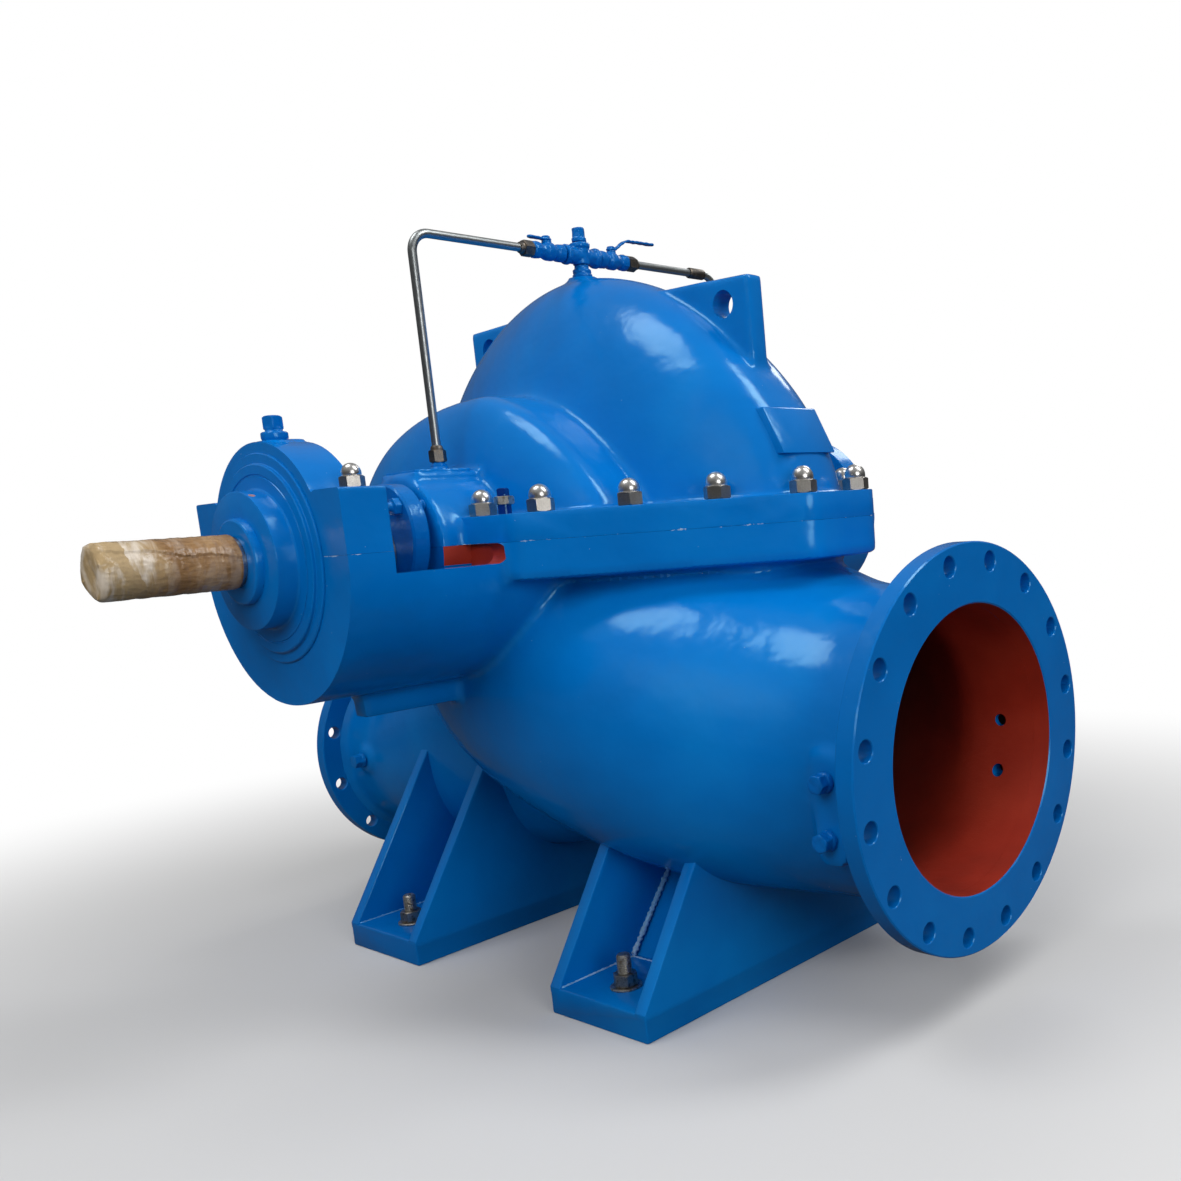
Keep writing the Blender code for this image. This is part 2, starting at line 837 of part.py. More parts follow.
def rim_pad(name, side):
    # Its flat face lies along the rim's slope.
    outline = [
        (rim_pad_low_reach, rim_pad_low),
        (rim_pad_high_reach, rim_pad_high),
        (rim_pad_high_reach - rim_pad_depth, rim_pad_high),
        (rim_pad_low_reach - rim_pad_depth, rim_pad_low),
    ]
    return outline_solid(
        name,
        [(side * x, z) for x, z in outline],
        rim_pad_half_width * 2,
        Matrix.Rotation(pi / 2, 4, "X"),
    )


def flange(name, side, reach, level, bore, diameter, thickness, circle, count, hole):
    ring = turned(
        name,
        (side * (reach - thickness), 0, level),
        (side, 0, 0),
        [
            (bore / 2, thickness),
            (diameter / 2 - edge_break, thickness),
            (diameter / 2, thickness - edge_break),
            (diameter / 2, edge_break),
            (diameter / 2 - edge_break, 0),
            (bore / 2, 0),
        ],
        finish(name + "_paint", blue_paint, 0.3, 0.0),
        48,
    )
    centre = (side * (reach - thickness / 2), 0, level)
    cut(ring, hole_ring(name + "_holes", centre, circle, count, hole / 2, thickness + overrun))
    return ring


def foot(name, side):
    inner = side * foot_inner
    outer = side * foot_outer
    low_x = min(inner, outer)
    high_x = max(inner, outer)
    surface = finish(name + "_paint", blue_paint, 0.32, 0.0)
    base = block(
        name,
        (low_x, -foot_half_length, floor_level),
        (high_x, foot_half_length, floor_level + foot_base_thickness),
        surface,
    )
    base_top = floor_level + foot_base_thickness
    slope = (foot_top - base_top) * tan(radians(foot_lean))
    start = base_top - foot_weld_depth
    side_outline = [
        (-foot_half_length, start),
        (foot_half_length, start),
        (foot_half_length, base_top),
        (foot_half_length - slope, foot_top),
        (-foot_half_length + slope, foot_top),
        (-foot_half_length, base_top),
    ]
    upright = Matrix.Rotation(pi / 2, 4, "Z") @ Matrix.Rotation(pi / 2, 4, "X")
    for x in (low_x + foot_plate / 2, high_x - foot_plate / 2):
        plate = outline_solid(
            name + "_plate", side_outline, foot_plate, Matrix.Translation((x, 0, 0)) @ upright
        )
        join(base, plate)
    # The webs of both ends would meet over the foot's middle, inside the casing.
    web_reach = foot_half_length - foot_web_inset
    web_peak = base_top + web_reach / tan(radians(foot_web_lean))
    for end in (-1, 1):
        foot_y = end * web_reach
        web_outline = [
            (foot_y, start),
            (foot_y - end * foot_plate, start),
            (-end * foot_plate, web_peak),
            (0, web_peak),
        ]
        web = outline_solid(
            name + "_web",
            web_outline,
            foot_outer - foot_inner - foot_plate,
            Matrix.Translation((side * foot_middle, 0, 0)) @ upright,
        )
        join(base, web)
        bolt_y = end * (foot_half_length - foundation_bolt_inset)
        cut(
            base,
            rod(
                name + "_bolt_way",
                (side * foot_middle, bolt_y, floor_level - overrun),
                (side * foot_middle, bolt_y, base_top + overrun),
                foundation_hole_radius,
                sides=16,
            ),
        )
    cut(
        base,
        suction_body(name + "_belly", seat_gap * 2),
        discharge_body(name + "_channel", seat_gap * 2),
    )
    return base


def bearing_cap(name, side):
    surface = finish(name + "_paint", blue_paint, 0.3, 0.0)
    reach, length, radius = bearing_sizes(side)
    front = side * reach
    back = side * (reach - length)
    cap = rod(name, (0, front, 0), (0, back, 0), cap_radius, surface, sides=48)
    height = ear_height if side < 0 else rear_ear_height
    for hand in (-1, 1):
        inner = hand * (radius - ear_width)
        outer = hand * (radius - edge_break / 2)
        ear = block(
            name + "_ear",
            (min(inner, outer), min(front, back), -overrun),
            (max(inner, outer), max(front, back), height),
        )
        join(cap, ear)
    cut(cap, below_split(name + "_below"), shaft_way(name + "_way", sleeve_radius + sleeve_room))
    return cap


def bearing_cover(name, side, open_for_shaft):
    # Turned cover: a wide ring, a step and a boss, with a lip round the shaft.
    base = bearing_sizes(side)[0] + seat_gap
    step = cover_step
    boss = boss_length - seat_gap
    lip = boss + lip_length
    bore = shaft_radius + shaft_clearance
    profile = [
        (bore, lip),
        (lip_radius - edge_break, lip),
        (lip_radius, lip - edge_break),
        (lip_radius, boss),
        (boss_radius - edge_break, boss),
        (boss_radius, boss - edge_break),
        (boss_radius, step + boss_fillet),
        (boss_radius + boss_fillet, step),
        (cover_step_radius - edge_break, step),
        (cover_step_radius, step - edge_break),
        (cover_step_radius, cover_rim),
        (cover_radius, cover_rim),
        (cover_radius, 0),
        (bore, 0),
    ]
    if not open_for_shaft:
        profile = [(0, boss)] + profile[4:-1] + [(0, 0)]
    return turned(
        name,
        (0, side * base, 0),
        (0, side, 0),
        profile,
        finish(name + "_paint", blue_paint, 0.3, 0.0),
        36,
    )


def gland(name, side):
    # Flanged ring round the shaft sleeve; its nose enters the stuffing box.
    face = stuffing_reach + gland_gap
    bore = sleeve_radius + shaft_clearance
    nose = gland_gap + gland_nose_depth
    ring = turned(
        name,
        (0, side * (face - nose), 0),
        (0, side, 0),
        [
            (bore, nose + gland_thickness),
            (gland_radius - edge_break, nose + gland_thickness),
            (gland_radius, nose + gland_thickness - edge_break),
            (gland_radius, nose),
            (gland_nose_radius, nose),
            (gland_nose_radius, 0),
            (bore, 0),
        ],
        finish(name + "_paint", blue_paint, 0.35, 0.0),
        32,
    )
    return ring


def shaft():
    # Shaft, sleeves and sleeve nuts as one turned piece.
    start = -shaft_reach + wrap_thickness
    rear = rear_bearing_reach - end_room
    drive_sleeve = -(bearing_reach - end_room)
    rear_sleeve = rear - end_room
    return turned(
        "shaft",
        (0, start, 0),
        (0, 1, 0),
        [
            (0, rear - start),
            (shaft_radius, rear - start),
            (shaft_radius, rear_sleeve - start),
            (sleeve_radius, rear_sleeve - start),
            (sleeve_radius, drive_sleeve - start),
            (shaft_radius, drive_sleeve - start),
            (shaft_radius, 0),
            (0, 0),
        ],
        finish("shaft_steel", steel, 0.3, 1.0),
        32,
    )


def shaft_wrap():
    # Kraft paper rolled round the shaft end and folded over its face.
    inner = shaft_radius + seat_gap
    outer = shaft_radius + wrap_thickness
    length = shaft_reach - boss_reach - lip_length - end_room
    return turned(
        "shaft_wrap",
        (0, -shaft_reach + length, 0),
        (0, -1, 0),
        [
            (0, length),
            (outer - wrap_thickness, length),
            (outer, length - wrap_thickness),
            (outer, 0),
            (inner, 0),
            (inner, length - wrap_thickness + seat_gap),
            (0, length - wrap_thickness + seat_gap),
        ],
        finish("wrapping_paper", (0.35, 0.22, 0.12), 0.6, 0.0),
        32,
    )


def filler_plug(name, side):
    surface = finish(name + "_paint", blue_paint, 0.35, 0.0)
    y = side * (bearing_sizes(side)[0] - filler_plug_setback)
    return turned(
        name,
        (0, y, cap_radius + seat_gap),
        (0, 0, 1),
        [
            (0, filler_height),
            (filler_head_radius - edge_break / 2, filler_height),
            (filler_head_radius, filler_height - edge_break),
            (filler_head_radius, filler_collar_height),
            (filler_collar_radius, filler_collar_height - edge_break),
            (filler_collar_radius, 0),
            (0, 0),
        ],
        surface,
        12,
    )


def hex_plug(name, base, direction, surface_colour, width, length):
    surface = finish(name + "_finish", surface_colour, 0.35, 0.2)
    start = Vector(base) + Vector(direction) * seat_gap
    end = start + Vector(direction) * length
    return hexagon(name, start, end, width, surface)


def pipework():
    level = pipe_line_height
    vent_top = volute_height + vent_boss_rise
    turned(
        "vent_stem",
        (0, 0, vent_top + seat_gap),
        (0, 0, 1),
        [
            (0, level - cross_radius - vent_top - 2 * seat_gap),
            (stem_radius * 0.8, level - cross_radius - vent_top - 2 * seat_gap),
            (stem_radius, edge_break * 2),
            (stem_radius, 0),
            (0, 0),
        ],
        finish("vent_stem_paint", blue_paint, 0.35, 0.0),
        16,
    )
    cross = rod(
        "vent_cross", (0, -cross_arm, level), (0, cross_arm, level), cross_radius,
        finish("vent_cross_paint", blue_paint, 0.35, 0.0), sides=20,
    )
    top = level + cross_riser
    join(cross, rod("vent_cross_riser", (0, 0, level - cross_radius), (0, 0, top), cross_radius, sides=20))
    hex_plug("vent_plug", (0, 0, top), (0, 0, 1), blue_paint, plug_width, plug_length)
    for side, end in ((-1, "drive"), (1, "rear")):
        start = cross_arm + seat_gap
        finish_y = start + valve_length
        body = rod(
            end + "_valve", (0, side * start, level), (0, side * finish_y, level), valve_radius,
            finish(end + "_valve_paint", blue_paint, 0.35, 0.0), sides=20,
        )
        middle = side * (start + finish_y) / 2
        neck_top = level + valve_radius + valve_neck_height
        neck_base = (0, middle, level)
        neck = rod(end + "_valve_neck", neck_base, (0, middle, neck_top), valve_neck_radius, sides=16)
        join(body, neck)
        valve_lever(end + "_lever", side, middle, neck_top + lever_clearance)
        nut_start = finish_y + seat_gap
        nut_end = nut_start + pipe_nut_length
        hexagon(
            end + "_line_nut", (0, side * nut_start, level), (0, side * nut_end, level), pipe_nut_width,
            finish(end + "_line_nut_steel", (0.06, 0.055, 0.05), 0.4, 1.0),
        )
        pad = stuffing_pad_height
        drop = side * pipe_drop_reach
        hexagon(
            end + "_adapter", (0, drop, pad + seat_gap), (0, drop, pad + adapter_length), adapter_width,
            finish(end + "_adapter_paint", blue_paint, 0.35, 0.0),
        )
        nut_low = pad + adapter_length + seat_gap
        nut_high = nut_low + pipe_nut_length
        hexagon(
            end + "_pad_nut", (0, drop, nut_low), (0, drop, nut_high), pipe_nut_width,
            finish(end + "_pad_nut_steel", (0.06, 0.055, 0.05), 0.4, 1.0),
        )
        flush_pipe(end, side, level, drop, nut_high + seat_gap, side * (nut_end + seat_gap))


def valve_lever(name, side, pivot, low):
    # A bent strip: flat over the spindle, then up, then level; the drive one stays low.
    rise = rear_lever_rise if side > 0 else 0
    reach = rear_lever_length if side > 0 else drive_lever_length
    centre_line = [(-lever_heel, 0), (lever_heel, 0), (lever_heel + rise, rise), (reach, rise)]
    if rise == 0:
        centre_line = [(-lever_heel, 0), (reach, 0)]
    upper = [(along, up + lever_thickness) for along, up in centre_line]
    outline = centre_line + upper[::-1]
    upright = Matrix.Rotation(pi / 2, 4, "Z") @ Matrix.Rotation(pi / 2, 4, "X")
    return outline_solid(
        name,
        [(pivot + side * along, low + up) for along, up in outline],
        lever_width,
        upright,
        finish(name + "_paint", blue_paint, 0.35, 0.0),
    )


def flush_pipe(end, side, level, drop, bottom, inner):
    # Steel tube: up from the stuffing box, one bend, then level to the valve.
    points = [(0, drop, bottom)]
    steps = 8
    for i in range(steps + 1):
        turn = pi / 2 * i / steps
        y = drop - side * pipe_bend * (1 - cos(turn))
        z = level - pipe_bend + pipe_bend * sin(turn)
        points.append((0, y, z))
    points.append((0, inner, level))
    curve = bpy.data.curves.new(end + "_flush_pipe", "CURVE")
    curve.dimensions = "3D"
    curve.bevel_depth = pipe_radius
    curve.bevel_resolution = 2
    curve.use_fill_caps = True
    spline = curve.splines.new("POLY")
    spline.points.add(len(points) - 1)
    for point, place_at in zip(spline.points, points):
        point.co = (*place_at, 1)
    item = bpy.data.objects.new(end + "_flush_pipe", curve)
    place(item, finish(end + "_pipe_steel", (0.25, 0.27, 0.28), 0.3, 1.0))


def nozzle_plugs():
    x = suction_reach - nozzle_plug_setback
    face = suction_neck + nozzle_pad_rise
    discharge_face = discharge_neck + nozzle_pad_rise
    for side, end in ((-1, "drive"), (1, "rear")):
        for place_name, drop in (("upper", 0), ("lower", nozzle_plug_spacing)):
            hex_plug(
                f"suction_{end}_{place_name}_plug", (x, side * face, -suction_drop - drop), (0, side, 0),
                blue_paint, nozzle_plug_width, nozzle_plug_length,
            )
        hex_plug(
            f"discharge_{end}_plug",
            (-(discharge_reach - discharge_plug_setback), side * discharge_face, -discharge_drop),
            (0, side, 0), blue_paint, nozzle_plug_width, nozzle_plug_length,
        )


lower_casing()
upper_casing()
flange(
    "suction_flange", 1, suction_reach, -suction_drop, suction_bore, suction_flange_diameter,
    suction_flange_thickness, suction_bolt_circle, suction_bolt_holes, suction_hole_diameter,
)
flange(
    "discharge_flange", -1, discharge_reach, -discharge_drop, discharge_bore,
    discharge_flange_diameter, discharge_flange_thickness, discharge_bolt_circle,
    discharge_bolt_holes, discharge_hole_diameter,
)
foot("suction_foot", 1)
foot("discharge_foot", -1)
for side, end in ((-1, "drive"), (1, "rear")):
    bearing_cap(end + "_bearing_cap", side)
    bearing_cover(end + "_bearing_cover", side, side < 0)
    gland(end + "_gland", side)
    filler_plug(end + "_filler_plug", side)
shaft()
shaft_wrap()
pipework()
nozzle_plugs()
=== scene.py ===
# %% [markdown]
# # A double-suction water pump in blue enamel
#
# The real pump is an iron casting split level with its shaft. The upper half carries the
# volute and two suction chambers, and the lower half carries the nozzles and the bearing
# brackets. The solids that the frame brings have the right shapes and sizes, but they are
# made of a few large facets. This lesson dresses them: the castings are built again with
# many more points and with the soft fillets of a foundry mould, and the small hardware,
# the paint and the wrapping paper are added. Every place is measured from the frame.

# %% Load the frame
from math import atan2, copysign, cos, pi, radians, sin, sqrt, tan

import bmesh
import bpy
from mathutils import Matrix, Vector, noise


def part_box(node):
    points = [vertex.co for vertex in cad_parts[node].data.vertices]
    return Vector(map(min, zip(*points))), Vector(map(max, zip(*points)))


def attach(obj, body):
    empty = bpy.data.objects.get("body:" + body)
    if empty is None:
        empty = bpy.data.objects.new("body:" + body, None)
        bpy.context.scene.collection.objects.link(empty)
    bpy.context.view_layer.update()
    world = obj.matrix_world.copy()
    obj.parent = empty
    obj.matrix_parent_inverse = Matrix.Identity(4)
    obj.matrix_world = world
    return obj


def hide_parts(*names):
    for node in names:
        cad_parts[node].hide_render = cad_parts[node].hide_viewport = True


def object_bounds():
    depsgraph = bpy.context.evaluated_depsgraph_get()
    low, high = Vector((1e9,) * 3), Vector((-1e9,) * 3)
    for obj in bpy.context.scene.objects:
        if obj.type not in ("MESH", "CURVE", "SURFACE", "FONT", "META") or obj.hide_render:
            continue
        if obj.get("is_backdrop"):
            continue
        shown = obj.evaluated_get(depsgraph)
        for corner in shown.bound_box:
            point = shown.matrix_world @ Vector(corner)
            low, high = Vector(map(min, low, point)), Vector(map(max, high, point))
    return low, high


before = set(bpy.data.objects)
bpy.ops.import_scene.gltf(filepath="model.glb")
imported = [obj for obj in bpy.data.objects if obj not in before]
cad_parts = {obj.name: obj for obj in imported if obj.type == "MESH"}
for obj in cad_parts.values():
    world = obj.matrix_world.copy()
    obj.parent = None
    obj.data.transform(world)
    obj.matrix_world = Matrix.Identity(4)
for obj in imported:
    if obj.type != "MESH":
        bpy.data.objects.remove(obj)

solids_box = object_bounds()
shaft_low, shaft_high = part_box("shaft")
suction_low, suction_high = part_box("suction_flange")
discharge_low, discharge_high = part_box("discharge_flange")
shaft_middle = (shaft_low + shaft_high) / 2
suction_middle = (suction_low + suction_high) / 2
discharge_middle = (discharge_low + discharge_high) / 2
centre = Vector((shaft_middle.x, suction_middle.y, shaft_middle.z))
floor_level = -centre.z
suction_reach = suction_high.x - centre.x
discharge_reach = centre.x - discharge_low.x
suction_level = suction_middle.z - centre.z
discharge_level = discharge_middle.z - centre.z
print("casing centre", [round(c, 4) for c in centre])


# %% [markdown]
# ## Colour and nodes
#
# Colours are written as sRGB hex values, as one reads them off a paint chart, and one
# function turns them to the linear values that a shader needs. One more function adds a
# node with its settings and its links. Short names for the nodes that come back in every
# material follow it, so that each material below reads as a recipe.

# %% Linear colours and one function for nodes
def linear(colour):
    channels = [int(colour[i:i + 2], 16) / 255 for i in (1, 3, 5)]
    bent = [c / 12.92 if c <= 0.04045 else ((c + 0.055) / 1.055) ** 2.4 for c in channels]
    return (*bent, 1)


def add_node(surface, kind, inputs=None, **settings):
    # An input that is a socket is linked, and any other input is set. A mix node keeps
    # hidden sockets of the same name, so its own are given by number: 0, 6, 7 and 2.
    tree = surface.node_tree
    made = tree.nodes.new("ShaderNode" + kind)
    for name, value in settings.items():
        setattr(made, name, value)
    for name, value in (inputs or {}).items():
        if isinstance(value, bpy.types.NodeSocket):
            tree.links.new(value, made.inputs[name])
        else:
            made.inputs[name].default_value = value
    return made


def mottle(surface, place, scale, detail, roughness=0.5, distortion=0.0):
    inputs = {"Vector": place, "Scale": scale, "Detail": detail}
    inputs |= {"Roughness": roughness, "Distortion": distortion}
    return add_node(surface, "TexNoise", inputs).outputs["Fac"]


def spread(surface, value, low, high, to_low=0.0, to_high=1.0, **settings):
    # Draws the range from low to high out to another one, and holds what lies beyond it.
    inputs = {"Value": value, "From Min": low, "From Max": high, "To Min": to_low, "To Max": to_high}
    return add_node(surface, "MapRange", inputs, **settings).outputs["Result"]


def maths(surface, operation, *values, **settings):
    inputs = dict(enumerate(values))
    return add_node(surface, "Math", inputs, operation=operation, **settings).outputs[0]


def blend(surface, share, first, second):
    return add_node(surface, "Mix", {0: share, 6: first, 7: second}, data_type="RGBA").outputs[2]


def drawn_out(surface, place, scale):
    # A smaller scale along a direction draws a texture out that way.
    return add_node(surface, "Mapping", {"Vector": place, "Scale": scale}).outputs["Vector"]


def relief(surface, height, strength, distance, normal=None):
    inputs = {"Height": height, "Strength": strength, "Distance": distance}
    if normal is not None:
        inputs["Normal"] = normal
    return add_node(surface, "Bump", inputs).outputs["Normal"]


def shades(surface, factor, *stops):
    # A colour ramp from (place, hex colour) pairs.
    ramp = add_node(surface, "ValToRGB", {"Fac": factor})
    while len(ramp.color_ramp.elements) < len(stops):
        ramp.color_ramp.elements.new(0.5)
    for element, (place, colour) in zip(ramp.color_ramp.elements, stops):
        element.position = place
        element.color = linear(colour)
    return ramp.outputs["Color"]


def new_surface(name):
    # An empty material, and the place on the object that its textures read.
    surface = bpy.data.materials.new(name)
    surface.use_nodes = True
    surface.node_tree.nodes.clear()
    return surface, add_node(surface, "TexCoord").outputs["Object"]


def close_surface(surface, shader):
    add_node(surface, "OutputMaterial", {"Surface": shader.outputs[0]})
    return surface


def principled(surface, colour, rough, normal, more):
    inputs = {"Base Color": colour, "Roughness": rough, "Normal": normal, **more}
    return close_surface(surface, add_node(surface, "BsdfPrincipled", inputs))


# %% [markdown]
# ## Alkyd enamel on cast iron
#
# Pump makers spray a thick, glossy alkyd enamel over a primed casting. It hides most of the
# sand texture, and leaves orange peel about 2 mm across, slow waves where the iron was
# ground, and a few thin or dusty places. Enamel is a resin, so it isn't metallic, its IOR is
# about 1.5, and its gloss comes from a low roughness. In the photo its highlights are pale
# cyan, where plain white light on this blue would look violet, so the specular tint takes
# some red out of them. Where the two castings meet, the filler under the paint has cracked
# and shows as pale flakes.

# %% The blue enamels
highlight_tint = (0.45, 0.92, 1.0, 1)
flake_colour = "#a9c8e6"


def enamel(name, low, middle, high, peel_mm, wave_mm, peel=0.07, wave=0.34, flakes=False, blemish=None):
    surface, place = new_surface(name)
    colour = shades(surface, mottle(surface, place, 4.0, 3.0), (0.25, low), (0.5, middle), (0.78, high))
    rough = spread(surface, mottle(surface, place, 55.0, 5.0, 0.7), 0.3, 0.75, 0.12, 0.24)
    pale = spread(surface, mottle(surface, place, 240.0, 2.0), 0.785, 0.82)
    if flakes:
        level = add_node(surface, "SeparateXYZ", {"Vector": place}).outputs["Z"]
        height = maths(surface, "ABSOLUTE", maths(surface, "SUBTRACT", level, centre.z))
        reach = spread(surface, mottle(surface, place, 34.0, 6.0, 0.75), 0.55, 0.75, 0.0, 0.0030)
        pale = maths(surface, "MAXIMUM", pale, maths(surface, "LESS_THAN", height, reach))
    colour = blend(surface, pale, colour, linear(flake_colour))
    if blemish:
        spot, radius, stain = blemish
        distance = add_node(surface, "VectorMath", {0: place, 1: centre + Vector(spot)}, operation="DISTANCE")
        near = maths(surface, "LESS_THAN", distance.outputs["Value"], radius)
        colour = blend(surface, near, colour, linear(stain))
    waves = relief(surface, mottle(surface, place, 1000 / wave_mm, 2.0, 0.45), wave, wave_mm / 9000)
    peeled = relief(surface, mottle(surface, place, 1000 / peel_mm, 1.5), peel, peel_mm / 4000, waves)
    return principled(surface, colour, rough, peeled, {"IOR": 1.5, "Specular Tint": highlight_tint})


blues = ("#0068b8", "#0072c6", "#077fd0")
casting_enamel = enamel("casting_enamel", *blues, 2.2, 38, flakes=True,
                        blemish=((0.165, -0.100, 0.258), 0.006, "#1c1226"))
housing_enamel = enamel("housing_enamel", *blues, 2.0, 30, blemish=((0.037, -0.612, 0.085), 0.005, "#a8807c"))
plate_enamel = enamel("plate_enamel", "#0062b0", "#006cbe", "#067acb", 1.8, 24, wave=0.25)
brushed_enamel = enamel("brushed_enamel", "#0057a8", "#0067ba", "#0477c6", 1.4, 7, peel=0.15, wave=0.8)
dark_enamel = enamel("dark_enamel", "#041d5c", "#06286f", "#0a3784", 1.4, 7, peel=0.15, wave=0.5)
print("enamels:", [m.name for m in bpy.data.materials if m.name.endswith("enamel")])


# %% [markdown]
# ## Red oxide primer, steels and kraft paper
#
# The nozzles are only primed inside. Red oxide primer is a matt brick red that dries with a
# fine sandy tooth. Deep in the suction nozzle its colour is blended towards near black, as
# painted shade where little light reaches. The cap nuts are stainless steel, turned and
# polished on the dome and duller on the flats. Pipe nuts are blackened steel, foundation
# bolts are weathered zinc, and the flush pipes are drawn steel with faint lines along them.
# Metals keep the default IOR, and their colour is that of their reflection.

# %% Primer and metals
def primer(name):
    surface, place = new_surface(name)
    clouds = mottle(surface, place, 9.0, 5.0)
    colour = shades(surface, clouds, (0.25, "#8a2414"), (0.5, "#a32c19"), (0.8, "#b53a24"))
    parts = add_node(surface, "SeparateXYZ", {"Vector": place}).outputs
    # Painted shade: deeper inside the suction nozzle the primer is blended towards near black.
    depth = spread(surface, parts["X"], centre.x + 0.34, centre.x + 0.62, 0.95, 0.0)
    in_nozzle = maths(surface, "GREATER_THAN", parts["Y"], centre.y - 0.300)
    painted_depth_shade = maths(surface, "MULTIPLY", depth, in_nozzle)
    colour = blend(surface, painted_depth_shade, colour, linear("#2a0f0a"))
    sand = relief(surface, mottle(surface, place, 60.0, 3.0), 0.3, 0.002)
    tooth = relief(surface, mottle(surface, place, 420.0, 3.0), 0.35, 0.0006, sand)
    return principled(surface, colour, 0.55, tooth, {"IOR": 1.5})


def metal(name, dark, light, roughness, grain_mm, stretch=(1, 1, 1), strength=0.15, stain=None):
    surface, place = new_surface(name)
    grain = mottle(surface, drawn_out(surface, place, stretch), 1000 / grain_mm, 3.0)
    colour = shades(surface, grain, (0.3, dark), (0.7, light))
    patches = mottle(surface, place, 160.0, 4.0)
    if stain:
        colour = blend(surface, spread(surface, patches, 0.5, 0.68), colour, linear(stain))
    rough = spread(surface, patches, 0.0, 1.0, roughness * 0.8, roughness * 1.35)
    return principled(surface, colour, rough, relief(surface, grain, strength, 0.0002), {"Metallic": 1.0})


red_primer = primer("red_oxide_primer")
stainless = metal("stainless_steel", "#d6d4d0", "#f0eeeb", 0.27, 1.2)
drawn_steel = metal("drawn_steel", "#949a9b", "#b8bcbc", 0.34, 1.0, (1, 1, 0.15))
black_steel = metal("blackened_steel", "#56524e", "#7b7772", 0.42, 1.5, strength=0.3, stain="#8a7d6e")
weathered_zinc = metal("weathered_zinc", "#aaa79f", "#cfccc4", 0.42, 1.5, strength=0.3, stain="#8a7d6c")
ground_steel = metal("ground_steel", "#8b8f92", "#bcbfc1", 0.28, 0.8, (1, 0.1, 1))
print("metals:", [m.name for m in (stainless, drawn_steel, black_steel, weathered_zinc, ground_steel)])


# %% [markdown]
# Kraft paper is unbleached pulp, so it is brown with longer fibres in it, and it has faded
# towards the shaft's free end. Here it is held with wide clear tape in slanting bands. The
# tape adds nothing but gloss and a pale haze, so it needs no shape of its own: one banded
# mask changes the roughness and the colour.

# %% Kraft paper under clear tape
def kraft(name, turn_length):
    surface, place = new_surface(name)
    parts = add_node(surface, "SeparateXYZ", {"Vector": place}).outputs
    fibres = mottle(surface, drawn_out(surface, place, (1, 0.25, 1)), 260.0, 6.0, 0.7)
    blots = mottle(surface, place, 24.0, 5.0)
    tone = maths(surface, "MULTIPLY", maths(surface, "ADD", fibres, blots), 0.5)
    paper = shades(surface, tone, (0.32, "#6f5030"), (0.5, "#95724c"), (0.68, "#b08f68"))
    towards_end = spread(surface, parts["Y"], shaft_low.y + 0.015, shaft_low.y + 0.105, 1.25, -0.35)
    swing = maths(surface, "MULTIPLY_ADD", blots, 1.6, -0.8)
    faded = maths(surface, "ADD", towards_end, swing, use_clamp=True)
    paper = blend(surface, faded, paper, linear("#b39a72"))
    along = maths(surface, "MULTIPLY", parts["Y"], 1 / turn_length)
    leaning = maths(surface, "MULTIPLY_ADD", parts["Z"], 3.0, along)
    wavy = maths(surface, "MULTIPLY_ADD", blots, 0.5, leaning)
    bare = spread(surface, maths(surface, "FRACT", wavy), 0.82, 0.85)
    taped = maths(surface, "SUBTRACT", 1.0, bare)
    creased = drawn_out(surface, place, (1.0, 3.0, 1.0))
    haze = spread(surface, mottle(surface, creased, 22.0, 5.0, distortion=0.6), 0.46, 0.64, 0.0, 0.62)
    haze_share = maths(surface, "MULTIPLY_ADD", faded, 0.75, 0.25)
    hazy = maths(surface, "MULTIPLY", maths(surface, "MULTIPLY", haze, haze_share), taped)
    colour = blend(surface, hazy, paper, linear("#efe6da"))
    rough = spread(surface, bare, 0.0, 1.0, 0.14, 0.62)
    creases = relief(surface, mottle(surface, creased, 45.0, 5.0), 0.6, 0.003)
    return principled(surface, colour, rough, creases, {"IOR": 1.45})


tape_turn = 0.150
kraft_paper = kraft("kraft_paper_under_tape", tape_turn)


# %% [markdown]
# ## Tools for shapes
#
# Three kinds of body make up the pump: turned ones from a profile, flat plates from an
# outline, and lofts through a row of rings. Each helper adds a closed body to a bmesh, in
# the casing's own frame with the shaft axis along Y, so several bodies can go in one mesh.

# %% Bodies in the casing's frame
def at(x, y, z):
    return centre + Vector((x, y, z))


def spokes_round(direction, count, turn=0.0):
    along = Vector(direction).normalized()
    side = along.orthogonal().normalized()
    return [Matrix.Rotation(turn + 2 * pi * i / count, 3, along) @ side for i in range(count)]


def turned(shape, profile, base, direction, sides=64):
    # The profile lists (radius, distance along the direction). It closes on itself,
    # unless it starts and ends on the axis.
    along, spokes = Vector(direction).normalized(), spokes_round(direction, sides)
    rows = []
    for radius, distance in profile:
        middle = at(*base) + along * distance
        if radius < 1e-6:
            rows.append([shape.verts.new(middle)])
        else:
            rows.append([shape.verts.new(middle + spoke * radius) for spoke in spokes])
    if profile[0][0] > 0:
        rows.append(rows[0])
    for row, following in zip(rows, rows[1:]):
        for i in range(sides):
            j = (i + 1) % sides
            corners = [row[i % len(row)], row[j % len(row)]]
            corners += [following[j % len(following)], following[i % len(following)]]
            unique = list(dict.fromkeys(corners))
            if len(unique) > 2:
                shape.faces.new(unique)


def rod(shape, start, end, radius, sides=64):
    way = Vector(end) - Vector(start)
    turned(shape, [(0, way.length), (radius, way.length), (radius, 0), (0, 0)], start, way, sides)


def loft(shape, rings):
    rows = [[shape.verts.new(point) for point in ring] for ring in rings]
    count = len(rows[0])
    for row, following in zip(rows, rows[1:]):
        for i in range(count):
            j = (i + 1) % count
            shape.faces.new((row[i], row[j], following[j], following[i]))
    shape.faces.new(rows[0])
    shape.faces.new(rows[-1])


